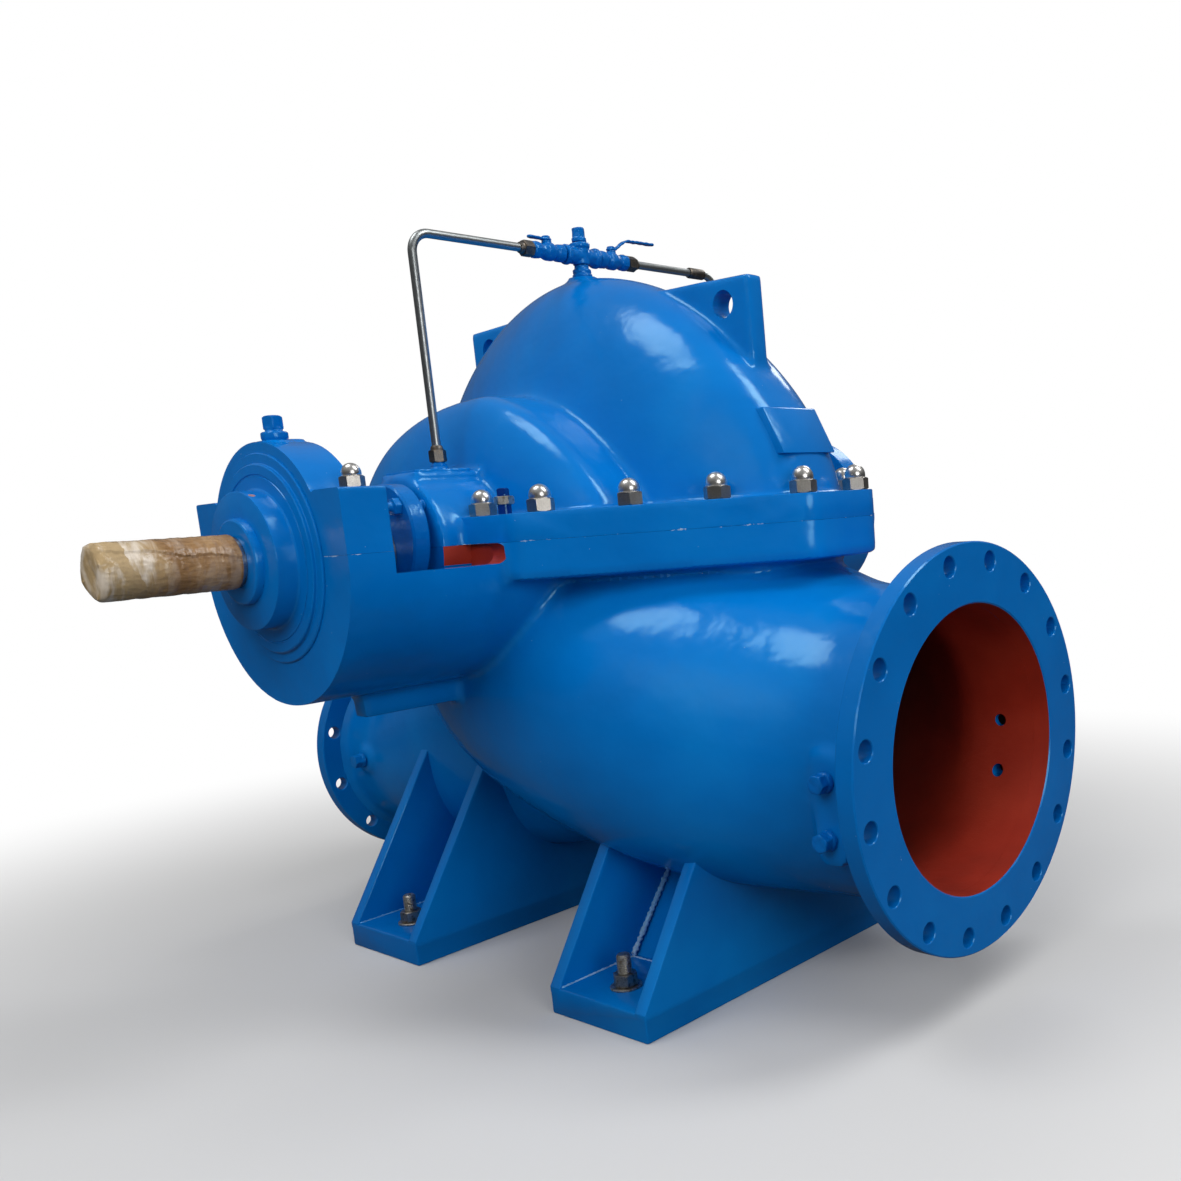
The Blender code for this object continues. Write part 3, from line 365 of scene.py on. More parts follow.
def plate(shape, outline, low, high, turn=Matrix()):
    # An outline in XY with its thickness along Z, then turned about the casing's centre.
    loft(shape, [[centre + turn @ Vector((x, y, z)) for x, y in outline] for z in (low, high)])


def block(shape, low, high):
    x, y = sorted((low[0], high[0])), sorted((low[1], high[1]))
    plate(shape, [(x[0], y[0]), (x[1], y[0]), (x[1], y[1]), (x[0], y[1])], low[2], high[2])


def rounded(points, radius, steps=8):
    arcs = []
    for i, corner in enumerate(points):
        corner = Vector(corner)
        before = (Vector(points[i - 1]) - corner).normalized()
        after = (Vector(points[(i + 1) % len(points)]) - corner).normalized()
        half = before.angle(after) / 2
        middle = corner + (before + after).normalized() * radius / sin(half)
        first = corner + before * radius / tan(half) - middle
        last = corner + after * radius / tan(half) - middle
        swing = first.angle_signed(last)
        start = atan2(first.y, first.x)
        turns = [start - swing * k / steps for k in range(steps + 1)]
        arcs += [(middle.x + radius * cos(t), middle.y + radius * sin(t)) for t in turns]
    return arcs


def with_slopes(path):
    # Each point of a path in a plane, with the angle at which the path passes it.
    befores, afters = [path[0], *path[:-1]], [*path[1:], path[-1]]
    slopes = [atan2(after[1] - before[1], after[0] - before[0]) for before, after in zip(befores, afters)]
    return [(*point, slope) for point, slope in zip(path, slopes)]


def single(body, *sizes):
    # A new bmesh with one body in it.
    shape = bmesh.new()
    body(shape, *sizes)
    return shape


upright = Matrix.Rotation(pi / 2, 3, "X")    # an outline's Y becomes Z
sideways = Matrix.Rotation(pi / 2, 3, "Z") @ upright    # an outline's X becomes Y, its Y becomes Z


# %% [markdown]
# ## How a casting gets its skin
#
# A foundry mould has no sharp inside corners. Modelling each fillet by hand would take long,
# and bevels fail where curved bodies meet at a shallow angle. So all the bodies of a casting
# go into one mesh, and a voxel remesh draws one skin round them. A few smoothing passes then
# turn each crease into a fillet. The machined faces come afterwards, as sharp Boolean cuts.

# %% One skin, then machined cuts
def link_piece(name, shape, *surfaces):
    bmesh.ops.recalc_face_normals(shape, faces=shape.faces)
    mesh = bpy.data.meshes.new(name)
    shape.to_mesh(mesh)
    shape.free()
    for surface in surfaces:
        mesh.materials.append(surface)
    piece = bpy.data.objects.new(name, mesh)
    bpy.context.scene.collection.objects.link(piece)
    return piece


def freeze(piece):
    # The mesh as its modifiers leave it.
    graph = bpy.context.evaluated_depsgraph_get()
    result = bpy.data.meshes.new_from_object(piece.evaluated_get(graph))
    piece.modifiers.clear()
    piece.data = result
    result.name = piece.name


def cast(name, shape, voxel, passes, surfaces, unevenness=0.0005, lumps_mm=77):
    piece = link_piece(name, shape, *surfaces)
    skin = piece.modifiers.new("skin", "REMESH")
    skin.mode = "VOXEL"
    skin.voxel_size = voxel
    soft = piece.modifiers.new("soft", "SMOOTH")
    soft.factor = 0.5
    soft.iterations = passes
    freeze(piece)
    normals = [vertex.normal.copy() for vertex in piece.data.vertices]
    for vertex, normal in zip(piece.data.vertices, normals):
        vertex.co += normal * unevenness * noise.noise(vertex.co * 1000 / lumps_mm)
    return piece


def machine(piece, tool, operation="DIFFERENCE"):
    # The tool is a bmesh or a ready object, and is used up.
    if isinstance(tool, bmesh.types.BMesh):
        tool = link_piece("tool", tool)
    step = piece.modifiers.new("machine", "BOOLEAN")
    step.object = tool
    step.operation = operation
    step.solver = "MANIFOLD"
    freeze(piece)
    bpy.data.objects.remove(tool, do_unlink=True)





def install(piece, body, slot, *nodes, angle=32):
    # Smooth shading keeps the edges sharp that turn by more than the angle in degrees.
    piece.data.shade_smooth()
    piece.data.set_sharp_from_angle(angle=radians(angle))
    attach(piece, body)
    if nodes:
        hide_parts(*nodes)
    corners = [len(polygon.vertices) - 2 for polygon in piece.data.polygons]
    print(f"{piece.name}: {sum(corners)} triangles")
    return piece


# %% [markdown]
# ## The shapes inside the castings
#
# The sizes below are the solids' own, in metres. The suction chamber is a loft that grows
# from the round nozzle into a wide belly and closes under the shaft, and the discharge
# channel swells up to the volute. The crown is a skin in polar form: a tall narrow ridge for
# the volute and a low wide drum for the suction chambers, blended where they cross.

# %% Sizes and lofts
suction_bore, discharge_bore = 0.400, 0.300
nozzle_wall, flange_fillet = 0.024, 0.016
suction_neck = suction_bore / 2 + nozzle_wall
discharge_neck = discharge_bore / 2 + nozzle_wall
suction_thickness = suction_high.x - suction_low.x
discharge_thickness = discharge_high.x - discharge_low.x
half_gap, joint_gap = 0.00015, 0.0003
belly_half_width, belly_middle, belly_tail, belly_top = 0.335, 0.100, 0.400, 0.010
belly_floor_start, belly_floor_rise = 0.400, 0.400
belly_neck = suction_reach - suction_thickness - 0.069
belly_floor_length = belly_floor_start - belly_middle + belly_tail
channel_start = discharge_reach - discharge_thickness - 0.094
channel_length = channel_start + 0.100


def ring_at(x, half_width, top, bottom, power, count=144):
    points = []
    for i in range(count):
        turn = 2 * pi * i / count
        across = copysign(abs(cos(turn)) ** (2 / power), cos(turn))
        up = copysign(abs(sin(turn)) ** (2 / power), sin(turn))
        points.append(at(x, half_width * across, (top + bottom) / 2 + (top - bottom) / 2 * up))
    return points


def neck_sections(side, reach, thickness, neck, level):
    face = reach - thickness - half_gap * 2
    radius = neck + flange_fillet
    sections = [(side * (face + 0.010), radius, level + radius, level - radius, 2.0)]
    for k in range(9):
        lean = pi / 2 * k / 8
        radius = neck + flange_fillet * (1 - sin(lean))
        x = side * (face - flange_fillet * 1.25 * (1 - cos(lean)))
        sections.append((x, radius, level + radius, level - radius, 2.0))
    return sections


def belly_section(x):
    toward_neck = max(x - belly_middle, 0) / (belly_neck - belly_middle)
    toward_tail = max(belly_middle - x, 0) / belly_tail
    spread = (1 + cos(pi * toward_neck ** 1.5)) / 2
    lift = (1 + cos(pi * toward_neck ** 1.1)) / 2
    closing = (1 - toward_tail ** 2.6) ** (1 / 2.6)
    width = (suction_neck + (belly_half_width - suction_neck) * spread) * closing
    top = suction_level + suction_neck + (belly_top - suction_level - suction_neck) * lift
    along_floor = max(belly_floor_start - x, 0) / belly_floor_length
    fall = (1 - along_floor ** 1.85) ** (1 / 1.85)
    bottom = suction_level - suction_neck + belly_floor_rise * (1 - fall)
    return x, width, top, bottom, 2.0 + 0.3 * spread * closing


def channel_section(x):
    share = (x + channel_start) / channel_length
    width = discharge_neck - 0.086 * share ** 3
    top = discharge_level + discharge_neck + 0.170 * sin(pi * 0.62 * share ** 1.2)
    bottom = discharge_level - discharge_neck + 0.150 * share ** 4.5
    return x, width, top, bottom, 2.0 + 0.3 * sin(pi * share)


def grown(sections, grow):
    return [(x, width + grow, top + grow, bottom - grow, power) for x, width, top, bottom, power in sections]


def add_belly(shape, grow=0):
    sections = neck_sections(1, suction_reach, suction_thickness, suction_neck, suction_level)
    sections += [belly_section(belly_neck + (belly_middle - belly_neck) * k / 28) for k in range(28)]
    sections += [belly_section(belly_middle - belly_tail * sin(pi / 2 * k / 24)) for k in range(23)]
    loft(shape, [ring_at(*section) for section in grown(sections, grow)])


def add_channel(shape, grow=0):
    sections = neck_sections(-1, discharge_reach, discharge_thickness, discharge_neck, discharge_level)
    sections += [channel_section(channel_length * k / 30 - channel_start) for k in range(31)]
    loft(shape, [ring_at(*section) for section in grown(sections, grow)])


lower_volute_radius, lower_volute_half = 0.450, 0.190


def add_lower_volute(shape):
    rings = []
    for k in range(-20, 21):
        station = sin(pi / 2 * k / 20.6)
        radius = lower_volute_radius * (1 - abs(station) ** 3) ** (1 / 3)
        ring = [point - centre for point in ring_at(0, radius, radius, -radius, 2.1)]
        rings.append([at(point.y, station * lower_volute_half, point.z) for point in ring])
    loft(shape, rings)


split_end, split_front = (0.516, 0.067), (0.215, 0.352)
split_top, split_bottom = 0.038, -0.055


def split_outline():
    (end_x, end_y), (front_x, front_y) = split_end, split_front
    corners = [
        (end_x, -end_y), (end_x, end_y), (front_x, front_y), (-front_x, front_y),
        (-end_x, end_y), (-end_x, -end_y), (-front_x, -front_y), (front_x, -front_y),
    ]
    return rounded(corners, 0.035)


# %% [markdown]
# ## The lower casing
#
# One mesh holds the belly, the discharge channel, the lower volute, the split flange, the
# two round bearing brackets with a rib under each, and the small raised pads of the nozzle
# plugs. After the skin come the cuts, in the order of the workshop: the split face, the
# bracket windows, the water passages and the bores along the shaft. The window tool has the
# stuffing box taken out of it, so that the box stays standing in the bracket.

# %% Lower casing
stuffing_radius, stuffing_reach, window_back = 0.103, 0.389, 0.344
bearing_reaches = {-1: 0.583, 1: 0.545}
housing_lengths = {-1: 0.063, 1: 0.040}
bracket_radii = {-1: 0.197, 1: 0.160}
bracket_wall = 0.028
ends = {-1: "drive", 1: "rear"}
plug_drop = 0.076    # from the suction nozzle's upper plugs to its lower ones
plug_x, boss_x = suction_reach - 0.085, -(discharge_reach - 0.099)


def pad_outline(side_x):
    half, top, bottom = 0.026, suction_level + 0.038, suction_level - plug_drop - 0.038
    corners = [(side_x - half, bottom), (side_x + half, bottom), (side_x + half, top), (side_x - half, top)]
    return rounded(corners, 0.021)


lower = bmesh.new()
add_belly(lower)
add_channel(lower)
add_lower_volute(lower)
plate(lower, split_outline(), split_bottom, 0.020)
extra = 0.010    # what the skin has beyond each machined face
drive_end, rear_end = -bearing_reaches[-1] - extra, bearing_reaches[1] + extra
profile = [
    (0, rear_end), (bracket_radii[1], rear_end), (bracket_radii[1], 0), (bracket_radii[-1], 0),
    (bracket_radii[-1], drive_end), (0, drive_end),
]
turned(lower, profile, (0, 0, 0), (0, 1, 0), 160)
for side in ends:
    tip = side * (bearing_reaches[side] - 0.093)
    radius = bracket_radii[side]
    block(lower, (-0.016, 0, -radius - 0.034), (0.016, tip, -radius + bracket_wall / 2))
    face = side * (suction_neck + 0.006)
    low, high = sorted((-face, -side * (suction_bore / 2 - nozzle_wall)))
    plate(lower, pad_outline(plug_x), low, high, upright)
    rod(lower, (boss_x, side * (discharge_bore / 2 + 0.004), discharge_level),
        (boss_x, side * (discharge_neck + 0.006), discharge_level), 0.024, 40)
lower_casting = cast("lower_casing_casting", lower, 0.0064, 5, [casting_enamel, red_primer])
print("lower skin:", len(lower_casting.data.polygons), "faces")


passage_ends = {1: 0.217, -1: -0.250}    # where the water passages stop inside the volute


def passage_section(side, x):
    if side > 0:
        bore, level, bend = suction_bore / 2, suction_level, suction_reach - suction_thickness - 0.120
        share = max(bend - x, 0) / (bend - passage_ends[1])
        swell = 0.100 * sin(pi / 2 * min(share, 1))
        bottom = level - bore + 0.030 * share ** 2.3
        return x, bore + swell * 0.9, level + bore + swell, bottom, 2.0 + 0.2 * share
    bore, level, face = discharge_bore / 2, discharge_level, -(discharge_reach - discharge_thickness)
    share = max(x - face, 0) / (passage_ends[-1] - face)
    swell = 0.040 * share ** 2
    return x, bore - swell * 0.75, level + bore + swell, level - bore + swell / 4, 2.0 + 0.2 * share


def add_passage(shape, side):
    start = suction_reach if side > 0 else -discharge_reach
    length = passage_ends[side] - start
    loft(shape, [ring_at(*passage_section(side, start + length * k / 24)) for k in range(25)])


reach_out = 2.0    # further out than any part of the pump
machine(lower_casting, single(block, (-reach_out, -reach_out, -half_gap), (reach_out, reach_out, reach_out)))
for side in ends:
    machine(lower_casting, single(block, (-1, side * bearing_reaches[side], -1), (1, side * 2, 1)))
for side, face in ((1, suction_reach - suction_thickness), (-1, discharge_reach - discharge_thickness)):
    machine(lower_casting, single(block, (side * (face - 2 * half_gap), -1, -1), (side * 2, 1, 1)))
for side in ends:
    radius = bracket_radii[side]
    inner_end = side * (bearing_reaches[side] - housing_lengths[side])
    trough = single(rod, (0, inner_end, 0), (0, side * window_back, 0), radius - bracket_wall, 128)
    window = link_piece("window", trough)
    mill, land = 0.014, 0.010    # the window's end is round, as the milling cutter left it
    outline = [(inner_end, 0.02), (inner_end, -0.028)]
    arc = [-pi / 2 - pi * k / 16 for k in range(17)]
    outline += [(side * (window_back + land + mill + mill * cos(t)), -mill + mill * sin(t)) for t in arc]
    outline.append((side * (window_back + land + mill), 0.02))
    machine(window, single(plate, outline, -radius - 0.002, radius + 0.002, sideways), "UNION")
    box_start, box_face = (0, side * (window_back - 0.05), 0), (0, side * stuffing_reach, 0)
    machine(window, single(rod, box_face, box_start, stuffing_radius, 96))
    machine(lower_casting, window)

suction_passage = link_piece("passage", single(add_passage, 1))
machine(suction_passage, single(add_lower_volute))
machine(lower_casting, suction_passage)
machine(lower_casting, single(add_passage, -1))


bore_radius, gland_bore_radius, tapped_radius = 0.050, 0.066, 0.0095


def shaft_bore():
    return single(rod, (0, -0.8, 0), (0, 0.8, 0), bore_radius, 64)


def gland_bore(side):
    # The counterbore in the stuffing box takes the gland's nose.
    outer, inner = side * (stuffing_reach + 0.02), side * (stuffing_reach - 0.020)
    return single(rod, (0, outer, 0), (0, inner, 0), gland_bore_radius, 72)


def tapped_hole(side, level):
    # The plug holes come through the nozzle's wall.
    return single(rod, (plug_x, side * 0.150, level), (plug_x, side * 0.222, level), tapped_radius, 24)


machine(lower_casting, shaft_bore())
for side in ends:
    machine(lower_casting, gland_bore(side))
    for drop in (0, plug_drop):
        machine(lower_casting, tapped_hole(side, suction_level - drop))

for polygon in lower_casting.data.polygons:
    x, y, z = polygon.center - centre
    inside_nozzle = False
    for side, first, last in ((1, 0.216, suction_reach), (-1, -discharge_reach, -0.249)):
        if first < x < last:
            _, width, top, bottom, power = passage_section(side, x)
            across, up = abs(y) / width, abs(z - (top + bottom) / 2) / ((top - bottom) / 2)
            inside_nozzle = inside_nozzle or (across ** power + up ** power) ** (1 / power) < 1.012
    spoke, radius = sqrt(x * x + z * z), bracket_radii[-1 if y < 0 else 1]
    in_window = 0.0505 < spoke < radius - 0.002 and 0.3430 < abs(y) < 0.3886 and -0.0282 < z < -0.0002
    behind_face = spoke < 0.160 or abs(polygon.normal.y) > 0.1 or polygon.normal.z < 0.1
    end_wall = 0.0505 < spoke < radius - bracket_wall + 0.002 and -0.085 < z < -0.0002
    end_wall = end_wall and abs(abs(y) - window_back) < 0.002
    primed = inside_nozzle or (in_window and behind_face) or end_wall
    polygon.material_index = 1 if primed else 0
install(lower_casting, "root", "casing_paint", "lower_casing")


# %% [markdown]
# ## The upper casing
#
# The crown is one loft along the shaft. In each ring the volute's outline and the suction
# chambers' outline are compared in polar form, and a soft maximum of the two gives the skin,
# with the wide hollow fillet that runs over the shoulder in the photo. The split flange goes
# in twice: once in the skin, 1 mm thinner, for the soft root, and once as a crisp plate with
# small bevels, because its faces are machined and its edges are only sprayed over.

# %% Upper casing
volute_long, volute_high, volute_half = 0.474, 0.410, 0.160
chamber_crown, chamber_reach, chamber_high = 0.212, 0.278, 0.220



def polar(half_width, height, power, turn):
    return ((abs(cos(turn)) / half_width) ** power + (abs(sin(turn)) / height) ** power) ** (-1 / power)


def soft_maximum(first, second, softness=0.030):
    gap = max(softness - abs(first - second), 0) / softness
    return max(first, second) + gap * gap * softness / 4


def crown_ring(y, count=200):
    points = []
    for i in range(count):
        turn = 2 * pi * i / count
        side = 2.8 if cos(turn) > 0 else 1.6
        power = 2.1 + (side - 2.1) * cos(turn) ** 2
        reach = min(abs(y) / volute_half, 0.9999)
        volute = (1 - reach ** power) ** (1 / power)
        reach = min(max((abs(y) - chamber_crown) / (chamber_reach - chamber_crown), 0), 1)
        chamber = (1 - reach ** 2.4) ** (1 / 2.4)
        wide, shoulder = (0.278, 1.5) if cos(turn) > 0 else (0.390, 2.15)
        ridge = polar(volute_long * volute, volute_high * volute, 1.78, turn)
        drum = polar(wide * chamber, chamber_high * chamber, shoulder, turn)
        radius = soft_maximum(ridge, drum)
        points.append(at(radius * cos(turn), y, radius * sin(turn)))
    return points


def add_crown(shape):
    stations = [volute_half * sin(pi / 2 * k / 32) for k in range(32)]
    stations += [volute_half + (chamber_crown - volute_half) * k / 8 for k in range(8)]
    stations += [chamber_crown + (chamber_reach - chamber_crown) * sin(pi / 2 * k / 18) for k in range(18)]
    stations = [-y for y in stations[:0:-1]] + stations
    loft(shape, [crown_ring(y) for y in stations])


def crisp(shape, bevel=0.0015):
    # Breaks every sharp edge of a plain body.
    bmesh.ops.recalc_face_normals(shape, faces=shape.faces)
    sharp = [edge for edge in shape.edges if edge.calc_face_angle(0) > radians(40)]
    bmesh.ops.bevel(shape, geom=sharp, offset=bevel, segments=2, affect="EDGES", profile=0.5)
    return shape


def join_crisp(piece, shape, bevel=0.0015):
    machine(piece, crisp(shape, bevel), "UNION")


lug_reaches = {1: 0.376, -1: 0.301}
lug_tops = {1: 0.356, -1: 0.368}
pad_high = 0.110

upper = bmesh.new()
add_crown(upper)
plate(upper, split_outline(), -0.020, split_top - 0.001)
for side in ends:
    rod(upper, (0, side * stuffing_reach, 0), (0, side * 0.1, 0), stuffing_radius, 128)
    block(upper, (-0.046, side * 0.2, 0.05), (0.046, side * (stuffing_reach - 0.008), pad_high - 0.0015))
    reach, top = lug_reaches[side], lug_tops[side]
    corners = [(reach - 0.186, 0.200), (reach, 0.100), (reach, top), (reach - 0.186, top + 0.006)]
    plate(upper, [(side * x, z) for x, z in corners], -0.017, 0.017, upright)
    profile = [(0, 0.044), (0.024, 0.044), (0.030, 0), (0, 0)]
turned(upper, profile, (0, 0, volute_high - 0.040), (0, 0, 1), 64)
upper_casting = cast("upper_casing_casting", upper, 0.0046, 6, [casting_enamel, red_primer])

machine(upper_casting, single(block, (-reach_out, -reach_out, -reach_out), (reach_out, reach_out, half_gap)))
join_crisp(upper_casting, single(plate, split_outline(), half_gap, split_top))
for side in ends:
    corners = [(0.4575, 0.095), (0.4235, 0.162), (0.328, 0.162), (0.362, 0.095)]
    rim_pad = single(plate, [(side * x, z) for x, z in corners], -0.058, 0.058, upright)
    join_crisp(upper_casting, rim_pad, 0.0025)
    low, high = sorted((side * 0.285, side * (stuffing_reach - 0.012)))
    corners = [(-0.043, low), (0.043, low), (0.043, high), (-0.043, high)]
    pipe_pad = single(plate, rounded(corners, 0.006, 3), pad_high - 0.007, pad_high)
    lumpy_pad = cast("pipe_pad", pipe_pad, 0.0016, 2, [casting_enamel], 0.0011, 11)
    machine(upper_casting, lumpy_pad, "UNION")
    eye_x, eye_z = side * (lug_reaches[side] - 0.052), lug_tops[side] - 0.036
    machine(upper_casting, single(rod, (eye_x, -0.04, eye_z), (eye_x, 0.04, eye_z), 0.020, 48))
    machine(upper_casting, single(block, (-0.2, side * stuffing_reach, -0.1), (0.2, side * 0.6, 0.2)))
    machine(upper_casting, gland_bore(side))
machine(upper_casting, shaft_bore())
install(upper_casting, "root", "casing_paint", "upper_casing")


# %% [markdown]
# ## Flanges
#
# The flange faces are turned on a lathe and then sprayed, so they're flat with small broken
# edges. The bolt holes straddle the centre lines, as flange standards ask. The bore is
# primed red, and the blue overspray ends a few millimetres inside it.

# %% The two flanges
def flange(node, side, reach, thickness, level, bore, diameter, circle, count, hole):
    broken = 0.0018
    profile = [
        (bore / 2, thickness - broken), (bore / 2 + broken, thickness), (diameter / 2 - broken, thickness),
        (diameter / 2, thickness - broken), (diameter / 2, broken), (diameter / 2 - broken, 0), (bore / 2, 0),
    ]
    disc = single(turned, profile, (side * (reach - thickness), 0, level), (side, 0, 0), 144)
    piece = link_piece(node + "_turned", disc, plate_enamel, red_primer)
    holes = bmesh.new()
    for i in range(count):
        turn = 2 * pi * (i + 0.5) / count
        y, z = circle / 2 * cos(turn), level + circle / 2 * sin(turn)
        profile = [
            (0, thickness + 0.02), (hole / 2 + 0.0212, thickness + 0.02), (hole / 2, thickness - 0.0012),
            (hole / 2, 0.0012), (hole / 2 + 0.0212, -0.02), (0, -0.02),
        ]
        turned(holes, profile, (side * (reach - thickness), y, z), (side, 0, 0), 28)
    machine(piece, holes)
    for polygon in piece.data.polygons:
        x, y, z = polygon.center - centre
        spoke = sqrt(y ** 2 + (z - level) ** 2)
        polygon.material_index = 1 if spoke < bore / 2 + 0.0004 else 0
    return install(piece, "root", "casing_paint", node, angle=25)


flange("suction_flange", 1, suction_reach, suction_thickness, suction_level,
       suction_bore, suction_high.z - suction_low.z, 0.515, 16, 0.028)
flange("discharge_flange", -1, discharge_reach, discharge_thickness, discharge_level,
       discharge_bore, discharge_high.z - discharge_low.z, 0.400, 12, 0.023)


# %% [markdown]
# ## Bearing housings
#
# Each bearing sits in a round housing. Its lower half belongs to the lower casing, and the
# cap closes it from above with two square ears for the bolts. The cover on its face is
# turned: a wide flat ring with two shallow steps, and a boss round the shaft. At the drive
# end a lip stands round the shaft, and the rear cover is closed.

# %% Caps and covers
ear_highs = {-1: 0.082, 1: 0.030}
housing_radius, filler_back = 0.152, 0.030    # the filler plug stands this far behind the cover
for side, end in ends.items():
    reach, length, radius = bearing_reaches[side], housing_lengths[side], bracket_radii[side]
    face, back = side * (reach + 0.004), side * (reach - length - 0.004)
    cap = single(rod, (0, face, 0), (0, back, 0), housing_radius, 144)
    for hand in (-1, 1):
        inner, outer = hand * (radius - 0.062), hand * (radius - 0.001)
        block(cap, (inner, face, -0.02), (outer, back, ear_highs[side]))
    if side < 0:
        rod(cap, (0, side * (reach - 0.054), 0.14), (0, side * (reach - 0.054), 0.1555), 0.015, 32)
    rod(cap, (0, side * (reach - filler_back), 0.14), (0, side * (reach - filler_back), 0.1535), 0.023, 32)
    piece = cast(end + "_bearing_cap_casting", cap, 0.0028, 3, [housing_enamel], 0.0003)
    for edge, outward in ((side * reach, 0.3), (side * (reach - length), -0.3)):
        machine(piece, single(block, (-1, edge, -1), (1, edge + side * outward, 1)))
    machine(piece, single(block, (-1, -1, -1), (1, 1, half_gap)))
    machine(piece, shaft_bore())
    install(piece, "root", "housing_paint", end + "_bearing_cap")

    boss = 0.036 - joint_gap
    profile = [
        (0.0325, boss + 0.010), (0.0525, boss + 0.010), (0.0550, boss + 0.0088), (0.0560, boss + 0.006),
        (0.0560, boss), (0.0880, boss), (0.0896, boss - 0.0007), (0.0900, boss - 0.0024),
        (0.0900, 0.0135), (0.0908, 0.0102), (0.0931, 0.0085), (0.0960, 0.0080),
        (0.1080, 0.0080), (0.1088, 0.0068), (0.1104, 0.0068), (0.1112, 0.0080),
        (0.1225, 0.0080), (0.1240, 0.0068), (0.1240, 0.0040), (0.1252, 0.0030),
        (0.1368, 0.0030), (0.1380, 0.0018), (0.1380, 0), (0.0325, 0),
    ]
    if side > 0:
        profile = [(0, boss), *profile[5:-1], (0, 0)]
    cover = single(turned, profile, (0, side * (reach + joint_gap), 0), (0, side, 0), 144)
    piece = link_piece(end + "_cover_turned", cover, housing_enamel)
    install(piece, "root", "housing_paint", end + "_bearing_cover", angle=25)


# %% [markdown]
# The filler plug is a square head with rounded corners on a round collar, thick with paint.

# %% Filler plugs
def prism(shape, base, direction, width, length, sides=6, turn=0.0, first=False):
    # A nut or a plug's head. Its corners are turned off to a cone at the far end, and at
    # the near end too if first is set.
    steps, rings = 8, []
    along, spokes = Vector(direction).normalized(), spokes_round(direction, sides * steps, turn)
    for distance, turned_off in ((0, first), (length, True)):
        edge, rim = [], []
        for k, spoke in enumerate(spokes):
            swing = (k / steps % 1 - 0.5) * 2 * pi / sides
            flat = width / 2 / cos(swing)
            drop = (flat - width / 2 * 0.97) * tan(radians(30)) if turned_off else 0
            inward = drop if distance == 0 else -drop
            edge.append(at(*base) + along * (distance + inward) + spoke * flat)
            rim.append(at(*base) + along * distance + spoke * width / 2 * 0.97)
        rings += [rim, edge] if distance == 0 else [edge, rim]
    loft(shape, rings)


for side, end in ends.items():
    y = side * (bearing_reaches[side] - filler_back)
    seat = housing_radius + joint_gap
    profile = [
        (0, 0.013), (0.0150, 0.013), (0.0170, 0.0112), (0.0170, 0.0045), (0.0158, 0.0022), (0.0158, 0), (0, 0),
    ]
    plug = single(turned, profile, (0, y, seat), (0, 0, 1), 48)
    turned(plug, [(0, 0.018), (0.0105, 0.018), (0.0105, 0.012), (0, 0.012)], (0, y, seat), (0, 0, 1), 32)
    prism(plug, (0, y, seat + 0.016), (0, 0, 1), 0.0185, 0.018, 4, turn=0.3)
    piece = cast(end + "_filler_plug_head", plug, 0.0011, 2, [brushed_enamel], 0.0003)
    install(piece, "root", "fitting_paint", end + "_filler_plug", angle=50)


# %% [markdown]
# ## Glands, shaft and wrapping
#
# A gland is an oval ring, narrower across the line of its two studs, which draw it against
# the packing in the stuffing box. It's left as cast on the outside and was painted by brush,
# so it looks rough. Behind the drive gland one sees the stud run into the box's face.

# %% Glands with studs
gland_radius, gland_thickness, gland_gap = 0.104, 0.026, 0.012
gland_face = stuffing_reach + gland_gap
stud_circle, stud_angle, gland_narrowing = 0.088, radians(42), 0.22
bolt_line = Vector((cos(stud_angle), 0, sin(stud_angle)))
for side, end in ends.items():
    nose = gland_gap + 0.012
    profile = [
        (0.0455, nose + gland_thickness), (gland_radius - 0.003, nose + gland_thickness),
        (gland_radius, nose + gland_thickness - 0.003), (gland_radius, nose + 0.002),
        (gland_radius - 0.002, nose), (0.060, nose), (0.060, 0), (0.0455, 0),
    ]
    ring = single(turned, profile, (0, side * (gland_face - nose), 0), (0, side, 0), 96)
    for vert in ring.verts:
        spoke = vert.co - centre
        spoke.y = 0
        if spoke.length > 0.062:
            vert.co -= (spoke - bolt_line * spoke.dot(bolt_line)) * gland_narrowing
    piece = link_piece(end + "_gland_ring", ring, brushed_enamel)
    install(piece, "root", "housing_paint", end + "_gland", angle=25)
    studs = bmesh.new()
    outer = gland_face + gland_thickness
    for turn in (stud_angle, stud_angle + pi):
        x, z = stud_circle * cos(turn), stud_circle * sin(turn)
        rod(studs, (x, side * (stuffing_reach - 0.004), z), (x, side * (outer + 0.018), z), 0.0065, 24)
        prism(studs, (x, side * outer, z), (0, side, 0), 0.022, 0.011, turn=0.4)
        rod(studs, (x, side * (stuffing_reach + 0.003), z), (x, side * stuffing_reach, z), 0.009, 24)
    piece = cast(end + "_gland_studs", studs, 0.0011, 2, [brushed_enamel], 0.0004, 9)
    install(piece, "root", "housing_paint", angle=50)


# %% [markdown]
# The shaft shows only in the gland window. Its drive end is wrapped for transport: paper
# wound on by hand in overlapping turns, with the loose end folded over the shaft's face.

